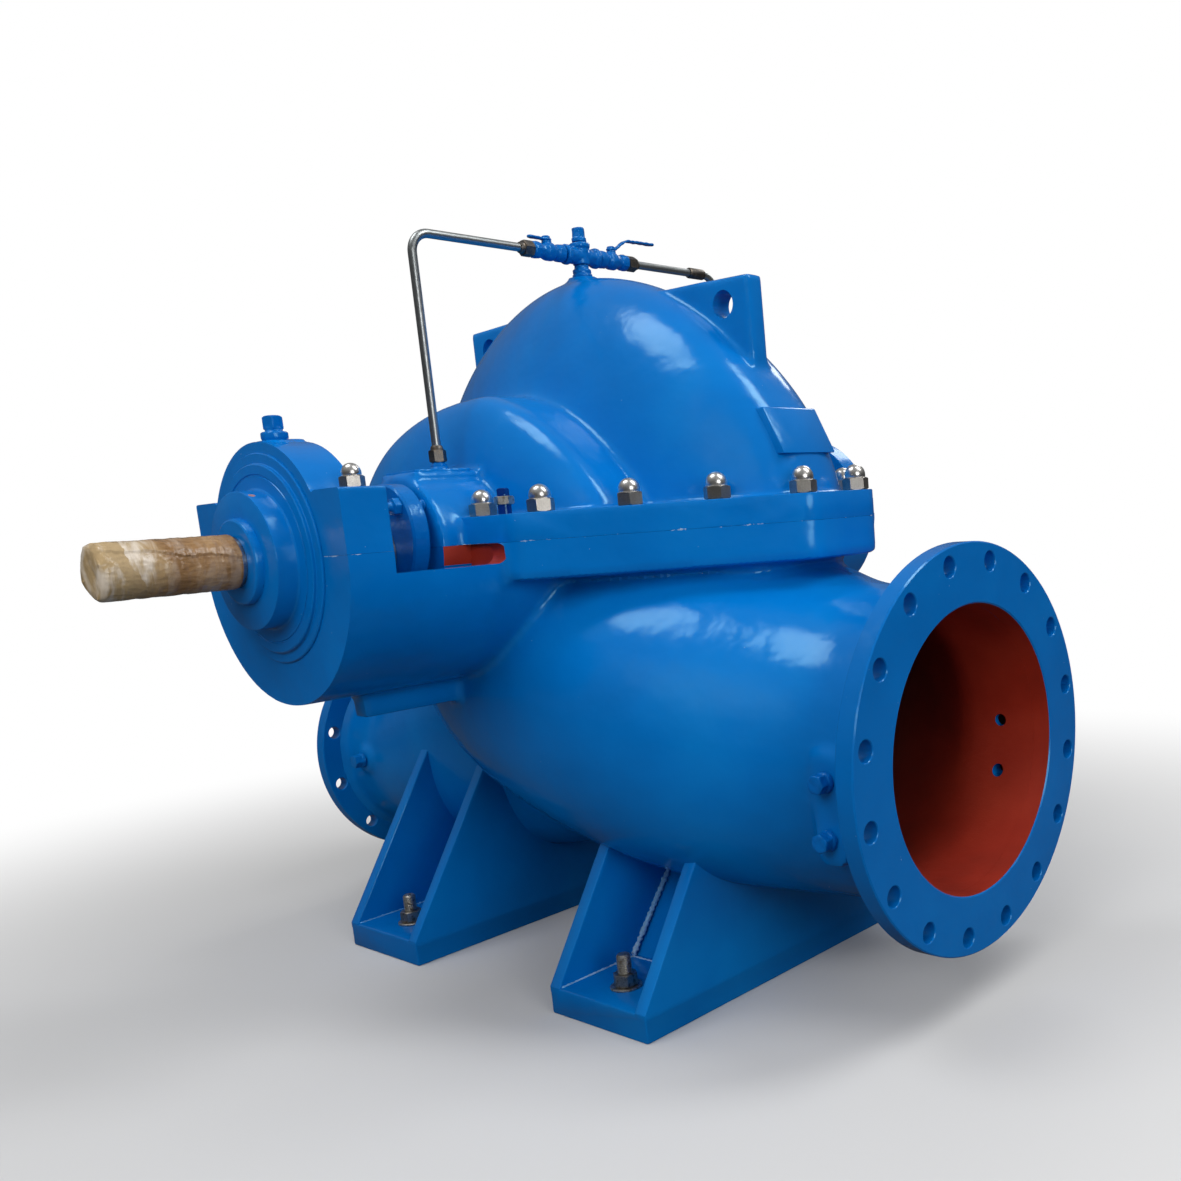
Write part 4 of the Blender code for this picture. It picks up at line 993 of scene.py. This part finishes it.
# %% Shaft and its wrapping
shaft_end = shaft_low.y - centre.y
shaft_far = shaft_high.y - centre.y
sleeve_near, sleeve_far = -(bearing_reaches[-1] - 0.006), shaft_far - 0.006
profile = [
    (0, shaft_far), (0.030, shaft_far), (0.032, shaft_far - 0.002), (0.032, sleeve_far), (0.0435, sleeve_far),
    (0.045, sleeve_far - 0.0015), (0.045, sleeve_near + 0.0015), (0.0435, sleeve_near), (0.032, sleeve_near),
    (0.032, shaft_end + 0.002), (0.030, shaft_end), (0, shaft_end),
]
turned_shaft = single(turned, profile, (0, 0, 0), (0, 1, 0), 96)
piece = link_piece("shaft_turned", turned_shaft, ground_steel)
install(piece, "rotor", "shaft_steel", "shaft", angle=25)

wrap_low, wrap_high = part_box("shaft_wrap")
wrap_start, wrap_end = wrap_high.y - centre.y, wrap_low.y - centre.y
rings = []
rows, spokes = 180, 144
for k in range(rows + 1):
    share = k / rows
    y = wrap_start + (wrap_end + 0.0008 - wrap_start) * share
    tucked = max(share - 0.95, 0) / 0.05
    ring = []
    for i in range(spokes):
        turn = 2 * pi * i / spokes
        rolled = (turn / (2 * pi) + 0.97 - 0.10 * share + 0.02 * noise.noise(Vector((y * 25, 0, 3)))) % 1
        overlap = 0.0020 * (1 - rolled)
        spot = Vector((cos(turn) * 1.3, y * 14, sin(turn) * 1.3))
        folds = abs(noise.noise(Vector((cos(turn) * 0.8, y * 55 + sin(turn * 2) * 0.6, sin(turn) * 0.8))))
        crumple = 0.0016 * folds + 0.0009 * abs(noise.noise(spot * 4.7))
        loose = 0.0014 * share * max(cos(turn * 2 + 0.6), 0)
        radius = 0.0346 + overlap - crumple + loose
        squared = max(abs(cos(turn + 0.5)), abs(sin(turn + 0.5)))    # the tucked end is nearly square
        radius *= 1 - tucked ** 2 * (0.06 + 0.16 * (squared - 0.707) / 0.293)
        ring.append(at(radius * cos(turn), y, radius * sin(turn)))
    rings.append(ring)
for share in (0.7, 0.4, 0.12):
    base = rings[rows]
    middle = sum(base, Vector()) / spokes
    depth = 0.0030 * (1 - share)
    rings.append([
        middle + (point - middle) * share
        + Vector((0, depth * (0.5 + noise.noise((point - middle) * 90 * share)), 0)) for point in base
    ])
inner_rings = [
    [at(0.0323 * cos(2 * pi * i / spokes), y, 0.0323 * sin(2 * pi * i / spokes)) for i in range(spokes)]
    for y in (wrap_start, wrap_end + 0.0046)
]
piece = link_piece("paper_wrapping", single(loft, inner_rings[::-1] + rings), kraft_paper)
install(piece, "rotor", "wrapping_paper", "shaft_wrap", angle=60)


# %% [markdown]
# ## Flush pipework
#
# A little water from the top of the volute flushes the packing. A cross fitting stands on the
# vent boss, a small ball valve on each arm opens or closes the line, and a steel tube runs
# down to each stuffing box. All the fittings but the tube nuts were painted by brush, very
# thick, so their edges are blurred. The remesh gives that look with a few smoothing passes.

# %% Fittings
line = 0.448    # the flush line's height above the shaft
cross_arm, valve_length = 0.036, 0.062
vent_top = volute_high + 0.004


def painted(name, shape, body, node, voxel=0.0009):
    piece = cast(name, shape, voxel, 2, [brushed_enamel], 0.0007, 7)
    return install(piece, body, "fitting_paint", node, angle=50)


stem_top = line - 0.014 - joint_gap
profile = [
    (0, stem_top), (0.0116, stem_top), (0.0116, vent_top + 0.014), (0.0150, vent_top + 0.0125),
    (0.0150, vent_top + 0.0075), (0.0128, vent_top + 0.006), (0.0160, vent_top + 0.0048),
    (0.0160, vent_top + joint_gap), (0, vent_top + joint_gap),
]
stem = single(turned, profile, (0, 0, 0), (0, 0, 1), 48)
painted("vent_stem_fitting", stem, "root", "vent_stem", 0.0010)

cross = bmesh.new()
profile = [
    (0, 0.0345), (0.0140, 0.0345), (0.0158, 0.0325), (0.0158, 0.0265), (0.0132, 0.0245), (0.0132, 0), (0, 0),
]
for direction in ((0, 1, 0), (0, -1, 0)):
    turned(cross, profile, (0, 0, line), direction, 48)
profile = [
    (0, 0.0205), (0.0150, 0.0205), (0.0165, 0.0185), (0.0165, 0.0135), (0.0140, 0.0115), (0.0135, -0.0135),
    (0, -0.0135),
]
turned(cross, profile, (0, 0, line), (0, 0, 1), 48)
painted("vent_cross_fitting", cross, "root", "vent_cross", 0.0011)

plug_base = line + 0.022 + joint_gap
profile = [(0, 0.006), (0.0120, 0.006), (0.0120, 0), (0, 0)]
plug = single(turned, profile, (0, 0, plug_base), (0, 0, 1), 40)
prism(plug, (0, 0, plug_base + 0.004), (0, 0, 1), 0.0190, 0.0178, 8, turn=0.2)
painted("vent_plug_head", plug, "root", "vent_plug", 0.0008)

for side, end in ends.items():
    start, length = cross_arm + joint_gap, valve_length
    profile = [
        (0, length), (0.0112, length), (0.0125, length - 0.002), (0.0125, length - 0.014),
        (0.0105, length - 0.017), (0.0118, length - 0.022), (0.0142, length - 0.028), (0.0142, 0.024),
        (0.0116, 0.019), (0.0112, 0.016), (0.0136, 0.013), (0.0136, 0.002), (0.0120, 0), (0, 0),
    ]
    valve = single(turned, profile, (0, side * start, line), (0, side, 0), 48)
    hexagon = (0, side * (start + length - 0.013), line)
    prism(valve, hexagon, (0, side, 0), 0.0235, 0.012, turn=0.3, first=True)
    pivot = side * (start + length / 2)
    rod(valve, (0, pivot, line), (0, pivot, line + 0.0160), 0.0078, 32)
    painted(end + "_valve_body", valve, "root", end + "_valve")

    lever_base = line + 0.0165
    rise, reach = (0.018, 0.098) if side > 0 else (0.001, 0.036)
    path = []
    steps = 60
    for k in range(steps + 1):
        along = -0.009 + (reach + 0.009) * k / steps
        climb = min(max((along - 0.006) / 0.037, 0), 1)
        up = rise * (1.2 * climb + 0.9 * climb ** 2 - 1.1 * climb ** 3)
        path.append((along, up + 0.05 * rise * max(along - 0.043, 0) / 0.045))
    rings = []
    for along, up, slope in with_slopes(path):
        to_tip = min(along + 0.009, reach - along)
        rounding = sqrt(max(1 - (1 - min(to_tip / 0.0055, 1)) ** 2, 0.02))
        neckline = 1 - 0.22 * max(0, 1 - abs(along - 0.015) / 0.010)
        half = 0.0058 * rounding * neckline
        ring = []
        for turn in range(20):
            angle = 2 * pi * (turn + 0.5) / 20
            across = copysign(abs(cos(angle)) ** 0.4, cos(angle)) * half
            thick = copysign(abs(sin(angle)) ** 0.5, sin(angle)) * 0.0019
            y, z = pivot + side * (along - sin(slope) * thick), lever_base + 0.002 + up + cos(slope) * thick
            ring.append(at(across, y, z))
        rings.append(ring)
    lever = single(loft, rings)
    rod(lever, (0, pivot, lever_base + 0.001), (0, pivot, lever_base + 0.0055), 0.0050, 24)
    prism(lever, (0, pivot, lever_base + 0.002), (0, 0, 1), 0.0115, 0.0050, turn=0.2)
    painted(end + "_valve_handle", lever, end + "_valve_lever", end + "_lever", 0.0006)


# %% [markdown]
# The tube nuts are the only unpainted fittings: blackened steel hexagons with a cone towards
# the tube. The tubes are plain drawn steel with one bend. The rear tube has a short dark
# coupling just before its bend.

# %% Tube nuts, adapters and tubes
nut_width, nut_length, pipe_radius = 0.022, 0.024, 0.0065
for side, end in ends.items():
    nut_start = side * (cross_arm + valve_length + 2 * joint_gap)
    nut_end = nut_start + side * nut_length
    pad_drop = side * 0.312
    nut_low = pad_high + 0.012 + joint_gap
    for name, base, direction in (
        ("line", (0, nut_start, line), (0, side, 0)), ("pad", (0, pad_drop, nut_low), (0, 0, 1)),
    ):
        nut = single(prism, base, direction, nut_width, nut_length * 0.74, 6, 0.35, True)
        profile = [
            (0, nut_length), (0.0076, nut_length), (0.0082, nut_length - 0.0008), (0.0100, nut_length * 0.72),
            (0.0100, nut_length * 0.5), (0, nut_length * 0.5),
        ]
        turned(nut, profile, base, direction, 40)
        piece = link_piece(f"{end}_{name}_tube_nut", nut, black_steel)
        install(piece, "root", "nut_steel", f"{end}_{name}_nut", angle=25)
    adapter_base = (0, pad_drop, pad_high + joint_gap)
    profile = [(0, 0.0117), (0.0095, 0.0117), (0.0095, 0), (0, 0)]
    adapter = single(turned, profile, adapter_base, (0, 0, 1), 40)
    turned(adapter, [(0, 0.005), (0.0135, 0.004), (0.0150, 0.0004), (0, 0)], adapter_base, (0, 0, 1), 40)
    prism(adapter, (0, pad_drop, pad_high + 0.0035), (0, 0, 1), 0.0205, 0.006, turn=0.1, first=True)
    painted(end + "_pad_adapter", adapter, "root", end + "_adapter", 0.0008)

    pipe_low = nut_low + nut_length - 0.001
    bend, steps = 0.030, 24
    path = [(pad_drop, pipe_low + (line - bend - pipe_low) * k / 12) for k in range(12)]
    turns = [pi / 2 * k / steps for k in range(steps + 1)]
    path += [(pad_drop - side * bend * (1 - cos(t)), line - bend + bend * sin(t)) for t in turns]
    path += [(path[-1][0] + (nut_end - side * 0.001 - path[-1][0]) * k / 12, line) for k in range(1, 13)]
    rings = []
    for y, z, slope in with_slopes(path):
        ring = []
        for i in range(32):
            across, up = pipe_radius * cos(2 * pi * i / 32), pipe_radius * sin(2 * pi * i / 32)
            ring.append(at(across, y - up * sin(slope), z + up * cos(slope)))
        rings.append(ring)
    tube = single(loft, rings)
    if side > 0:
        profile = [
            (0.0066, 0.036), (0.0084, 0.036), (0.0092, 0.034), (0.0092, 0.002), (0.0084, 0), (0.0066, 0),
        ]
        turned(tube, profile, (0, 0.246, line), (0, 1, 0), 40)
    piece = link_piece(end + "_tube", tube, drawn_steel, black_steel)
    for polygon in piece.data.polygons:
        x, y, z = polygon.center - centre
        polygon.material_index = 1 if sqrt(x * x + (z - line) ** 2) > 0.0068 and 0.2455 < y < 0.283 else 0
    install(piece, "root", "pipe_steel", end + "_flush_pipe", angle=30)


# %% [markdown]
# The nozzle plugs close gauge and drain holes. They're hexagons on a collar, sprayed over.

# %% Nozzle plugs
# The plug shanks are rusty steel, made very dark so that they also serve as painted shade inside the tapped
# holes.
rusty_thread_and_hole_shade = metal("rusty_thread_and_hole_shade", "#2c1a14", "#5a3524", 0.6, 1.2, strength=0.5)
shanks = bmesh.new()
for side, end in ends.items():
    places = {
        f"suction_{end}_upper_plug": (plug_x, side * (suction_neck + 0.0063), suction_level),
        f"suction_{end}_lower_plug": (plug_x, side * (suction_neck + 0.0063), suction_level - plug_drop),
        f"discharge_{end}_plug": (boss_x, side * (discharge_neck + 0.0063), discharge_level),
    }
    outer, inner = side * (suction_neck + 0.004), side * (suction_bore / 2 + 0.009)
    for number, (node, (x, y, z)) in enumerate(places.items()):
        profile = [(0, 0.008), (0.0140, 0.007), (0.0145, 0.001), (0, 0)]
        plug = single(turned, profile, (x, y, z), (0, side, 0), 48)
        prism(plug, (x, y + side * 0.006, z), (0, side, 0), 0.0235, 0.0158, turn=0.2 + 0.5 * number)
        painted(node + "_head", plug, "root", node, 0.0011)
        if node.startswith("suction"):
            rod(shanks, (x, outer, z), (x, inner, z), 0.0092, 24)
install(link_piece("plug_shanks", shanks, rusty_thread_and_hole_shade), "root", "pipe_steel", angle=30)


# %% [markdown]
# ## Welded feet
#
# Each foot is a thick base plate with two side plates and two sloping webs between them. The
# plates are flame cut, so their edges are only lightly broken. The foot's top is cut to the
# casing's underside with a little overlap, because in reality a weld closes that joint.

# %% Feet
foot_inner, foot_outer, foot_half, foot_plate = 0.178, 0.385, 0.352, 0.022
base_top, foot_top = floor_level + 0.042, -0.308
foot_slope = (foot_top - base_top) * tan(radians(33))
web_reach, web_lean = foot_half - 0.144, tan(radians(38))
web_peak = base_top + web_reach / web_lean
bolt_x, bolt_y = (foot_inner + foot_outer) / 2, foot_half - 0.058

# The weld beads are painted paler than the plates: partly dust caught on them, partly a painted highlight of
# their gloss.
weld_dust_and_highlight_enamel = enamel("weld_dust_and_highlight_enamel", "#2c7cc0", "#6ea4d2", "#b4cfe6", 1.4, 5, peel=0.2, wave=0.9)


def bead(shape, start, end, radius, steps_mm=2.5):
    start, end = Vector(start), Vector(end)
    spokes = spokes_round(end - start, 10)
    count = max(int((end - start).length * 1000 / steps_mm), 2)
    rings = []
    for k in range(count + 1):
        middle = start.lerp(end, k / count)
        thick = radius * (1 + 0.45 * noise.noise(middle * 160) + 0.2 * sin(k * 1.9))
        thick *= 0.35 if k in (0, count) else 1
        rings.append([at(*(middle + spoke * thick)) for spoke in spokes])
    loft(shape, rings)


for side, name in ((1, "suction"), (-1, "discharge")):
    low_x, high_x = sorted((side * foot_inner, side * foot_outer))
    base = single(block, (low_x, -foot_half, floor_level), (high_x, foot_half, base_top))
    foot = link_piece(name + "_foot_plates", crisp(base, 0.003), plate_enamel)
    start = base_top - 0.010
    outline = [
        (-foot_half, start), (foot_half, start), (foot_half, base_top), (foot_half - foot_slope, foot_top),
        (-foot_half + foot_slope, foot_top), (-foot_half, base_top),
    ]
    welds = bmesh.new()
    inner_faces = (low_x + foot_plate, high_x - foot_plate)
    for low, high in ((low_x, inner_faces[0]), (inner_faces[1], high_x)):
        join_crisp(foot, single(plate, outline, low, high, sideways), 0.0018)
    for end in (-1, 1):
        web_y = end * web_reach
        corners = [
            (web_y, start), (end * (web_reach - foot_plate), start),
            (-end * foot_plate, web_peak), (0, web_peak),
        ]
        web = single(plate, corners, inner_faces[0] - 0.005, inner_faces[1] + 0.005, sideways)
        machine(foot, web, "UNION")
        x, y = side * bolt_x, end * bolt_y
        machine(foot, single(rod, (x, y, floor_level - 0.01), (x, y, base_top + 0.01), 0.0150, 32))
        low_y, high_y = web_y + end * 0.001, end * (web_reach - 0.125) + end * 0.001
        for x, inward in zip(inner_faces, (0.001, -0.001)):
            upper_end = (x + inward, high_y, base_top + 0.125 / web_lean)
            bead(welds, (x + inward, low_y, base_top + 0.002), upper_end, 0.0044)
            bead(welds, (x, end * (foot_half - 0.005), base_top), (x, web_y, base_top), 0.0018)
        bead(welds, (inner_faces[0], web_y, base_top), (inner_faces[1], web_y, base_top), 0.0016)
    for body in (add_belly, add_channel):
        machine(foot, single(body, -0.006))
    install(foot, "root", "foot_paint", name + "_foot", angle=30)
    piece = link_piece(name + "_foot_welds", welds, weld_dust_and_highlight_enamel)
    install(piece, "root", "foot_paint", angle=60)


# %% [markdown]
# ## Nuts and bolts
#
# Stainless cap nuts hold the upper casing, and smaller ones the bearing caps. Their domes are
# polished, and the hexagons below are duller. The foundation bolts are plain threaded studs
# with a nut and a washer. A jack screw with a square head and a lock nut helps to lift the
# upper casing off its seat.

# %% Cap nuts on the split flange and the bearing caps
stainless_flats = metal("stainless_flats", "#938f89", "#bbb7b0", 0.36, 1.1, strength=0.25)
nut_flat, hex_high, nut_high = 0.0335, 0.0180, 0.0375
cap_nut_size = 0.81    # the bearing caps have the next smaller thread


def cap_nut(shape, x, y, z, turn, size=1.0):
    hex_top, top, dome = hex_high * size, nut_high * size, 0.0152 * size
    prism(shape, (x, y, z), (0, 0, 1), nut_flat * size, hex_top, turn=turn, first=True)
    middle = top - dome
    arc = [(dome * cos(pi / 2 * k / 10), middle + dome * sin(pi / 2 * k / 10)) for k in range(11)]
    neck = [(dome, hex_top + 0.0012), (dome - 0.0012, hex_top - 0.001), (0, hex_top - 0.001)]
    turned(shape, [(0, top), *arc[9::-1], *neck], (x, y, z), (0, 0, 1), 40)


def two_tones(piece, seat, size=1.0):
    for polygon in piece.data.polygons:
        height = polygon.center.z - centre.z
        polygon.material_index = 1 if seat + hex_high * size < height else 0


corner = Vector(split_end)
along = (Vector(split_front) - corner).normalized()
inward = Vector((-along.y, along.x))
spots = [tuple(corner + along * distance + inward * 0.024) for distance in (0.015, 0.135, 0.255, 0.377)]
spots.append((0.115, 0.325))
nut_places = [(right * x, back * y) for right in (1, -1) for back in (1, -1) for x, y in spots]
nuts = bmesh.new()
for number, (x, y) in enumerate(nut_places):
    cap_nut(nuts, x, y, split_top, number * 0.83)
piece = link_piece("split_flange_cap_nuts", nuts, stainless_flats, stainless)
two_tones(piece, split_top)
install(piece, "root", "nut_steel", angle=30)
for side, end in ends.items():
    nuts = bmesh.new()
    nut_x = 0.160 if side < 0 else 0.129
    nut_y = side * (0.543 if side < 0 else bearing_reaches[side] - housing_lengths[side] + 0.020)
    for hand in (-1, 1):
        cap_nut(nuts, hand * nut_x, nut_y, ear_highs[side], hand * 0.4, cap_nut_size)
    piece = link_piece(end + "_bearing_cap_nuts", nuts, stainless_flats, stainless)
    two_tones(piece, ear_highs[side], cap_nut_size)
    install(piece, "root", "nut_steel", angle=30)


# %% Jack screws and foundation bolts
def threaded(shape, base, direction, radius, pitch, length, sides=32):
    along, spokes = Vector(direction).normalized(), spokes_round(direction, sides)
    count = int(length / pitch * 8)
    rings = []
    for k in range(count + 1):
        distance = length * k / count
        ring = []
        for i, spoke in enumerate(spokes):
            phase = (distance / pitch - i / sides) % 1
            depth = pitch * 0.5 * abs(2 * phase - 1)
            lead = max(0, distance - (length - pitch * 0.9))
            ring.append(at(*base) + along * distance + spoke * min(radius - depth, radius - lead))
        rings.append(ring)
    loft(shape, rings)


for hand, far in ((1, ""), (-1, "_far")):
    x, y = hand * 0.166, -hand * 0.325
    screw = single(rod, (x, y, split_top), (x, y, split_top + 0.014), 0.0095, 32)
    rod(screw, (x, y, split_top + 0.024), (x, y, split_top + 0.0275), 0.0085, 32)
    prism(screw, (x, y, split_top + 0.0265), (0, 0, 1), 0.0125, 0.0095, 4, turn=0.5)
    install(link_piece("jack_screw" + far, screw, dark_enamel), "root", "fitting_paint", angle=30)
    nut = single(prism, (x, y, split_top + 0.0135), (0, 0, 1), 0.0245, 0.0115, 6, 0.1, True)
    install(link_piece("jack_lock_nut" + far, nut, weathered_zinc), "root", "nut_steel", angle=30)

studs, washers = bmesh.new(), bmesh.new()
for right, back in ((1, 1), (1, -1), (-1, 1), (-1, -1)):
    x, y = right * bolt_x, back * bolt_y
    profile = [(0.0225, 0.0032), (0.0235, 0.0022), (0.0235, 0.0004), (0.0112, 0.0004), (0.0112, 0.0032)]
    turned(washers, profile, (x, y, base_top), (0, 0, 1), 48)
    nut_turn = 0.7 * right + back
    prism(washers, (x, y, base_top + 0.0034), (0, 0, 1), 0.032, 0.0185, turn=nut_turn, first=True)
    rod(studs, (x, y, floor_level + 0.004), (x, y, base_top + 0.004), 0.0105, 32)
    threaded(studs, (x, y, base_top + 0.004), (0, 0, 1), 0.0108, 0.0028, 0.046)
install(link_piece("foundation_studs", studs, weathered_zinc), "root", "nut_steel", angle=40)
weathered_nut = metal("weathered_nut", "#938c81", "#c0b9ac", 0.40, 1.5, strength=0.3, stain="#77695a")
piece = link_piece("foundation_nuts", washers, weathered_nut, weathered_zinc)
for polygon in piece.data.polygons:
    polygon.material_index = 1 if polygon.center.z - centre.z < base_top + 0.0033 else 0
install(piece, "root", "nut_steel", angle=30)
print("cap nuts:", len(nut_places) + 4)


# %% [markdown]
# ## The studio
#
# The photo was cut out on white. A pale floor takes the shadow and fades to white away from
# the pump. Only the camera sees that white. The paint mirrors a room that grows lighter
# upwards, and a dim, even fill lights the shadows. The lamps overhead, behind and at the
# right give the soft highlights on the upper surfaces, and the low one at the side lights
# the suction flange. The widest lamp stands in front and lights the flanks, but it isn't
# mirrored in the paint, because the photo has no highlight there.

# %% Floor and backdrop
floor_shape = bmesh.new()
bmesh.ops.create_circle(floor_shape, cap_ends=True, segments=96, radius=40)
floor_surface, place = new_surface("pale_floor")
away = add_node(floor_surface, "VectorMath", {0: place}, operation="LENGTH").outputs["Value"]
fade = spread(floor_surface, away, 0.9, 2.3, interpolation_type="SMOOTHSTEP")
seen = add_node(floor_surface, "LightPath").outputs["Is Camera Ray"]
floor_colour = blend(floor_surface, seen, linear("#5c5c5c"), linear("#dcdcdc"))
pale = add_node(floor_surface, "BsdfDiffuse", {"Color": floor_colour})
white = add_node(floor_surface, "Emission", {"Color": (1, 1, 1, 1), "Strength": 1.0})
white_share = maths(floor_surface, "MULTIPLY", fade, seen)
mixed = add_node(floor_surface, "MixShader", {0: white_share, 1: pale.outputs[0], 2: white.outputs[0]})
close_surface(floor_surface, mixed)
floor = link_piece("studio_floor", floor_shape, floor_surface)
floor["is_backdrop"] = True

world = bpy.data.worlds.new("studio_world")
bpy.context.scene.world = world
world.use_nodes = True
world.node_tree.nodes.clear()
rays = add_node(world, "LightPath").outputs
generated = add_node(world, "TexCoord").outputs["Generated"]
rise = add_node(world, "SeparateXYZ", {"Vector": generated}).outputs["Z"]
mirrored_room = spread(world, rise, 0.0, 0.8, 0.06, 0.26, interpolation_type="SMOOTHSTEP")
fill = spread(world, rise, 0.0, 1.0, 0.48, 0.24)
level = {0: rays["Is Glossy Ray"], 2: fill, 3: mirrored_room}
level = add_node(world, "Mix", level, data_type="FLOAT").outputs[0]
room = add_node(world, "Background", {"Color": (1, 1, 1, 1), "Strength": level})
backdrop = add_node(world, "Background", {"Color": (1, 1, 1, 1), "Strength": 1.0})
sky = {0: rays["Is Camera Ray"], 1: room.outputs[0], 2: backdrop.outputs[0]}
add_node(world, "OutputWorld", {"Surface": add_node(world, "MixShader", sky).outputs[0]})


# %% Lamps
lamp_target = Vector((0, 0, 0.5))


def lamp(name, place, width, height, watts, mirrored=True):
    data = bpy.data.lights.new(name, "AREA")
    data.shape = "ELLIPSE"
    data.size, data.size_y, data.energy = width, height, watts
    item = bpy.data.objects.new(name, data)
    item.location = place
    item.rotation_euler = (Vector(place) - lamp_target).to_track_quat("Z", "Y").to_euler()
    bpy.context.scene.collection.objects.link(item)
    item.visible_glossy = mirrored
    item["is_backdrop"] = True


lamp("overhead_lamp", (-0.5, -1.0, 3.5), 1.4, 1.4, 24)
lamp("right_lamp", (1.86, 0.98, 3.27), 0.8, 2.3, 38)
lamp("back_lamp", (-0.6, 2.9, 2.8), 1.4, 1.2, 18)
lamp("front_lamp", (1.2, -3.2, 2.7), 3.4, 2.0, 54, mirrored=False)
lamp("side_lamp", (3.8, -1.2, 1.3), 1.8, 1.8, 34)


# %% [markdown]
# ## Camera
#
# The photo was taken from the drive end's right, a little above the shaft, with a slight
# roll. Lens, place and shift come from matching flange holes and edges of the real pump.

# %% Camera
camera_data = bpy.data.cameras.new("camera")
camera_data.sensor_width = 36.0
camera_data.lens = 35.55
camera_data.shift_x = -0.1963
camera_data.shift_y = 0.1036
camera_data.clip_start, camera_data.clip_end = 0.02, 100.0
camera = bpy.data.objects.new("camera", camera_data)
bpy.context.scene.collection.objects.link(camera)
azimuth, elevation, roll = radians(39.77), radians(9.876), radians(-4.119)
back = Vector((sin(azimuth) * cos(elevation), -cos(azimuth) * cos(elevation), sin(elevation)))
right = Vector((cos(azimuth), sin(azimuth), 0))
up = back.cross(right)
rolled_right = right * cos(roll) + up * sin(roll)
rolled_up = up * cos(roll) - right * sin(roll)
camera.matrix_world = Matrix.Translation(at(1.54985, -1.32902, 0.01369)) @ Matrix(
    (rolled_right, rolled_up, back)
).transposed().to_4x4()
bpy.context.scene.camera = camera
bpy.context.scene.view_settings.view_transform = "Standard"


# %% Sizes and the end
all_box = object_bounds()
growth = [[round((b - a) * 1000, 2) for a, b in zip(*pair)] for pair in zip(solids_box, all_box)]
print("grown by (mm):", growth)
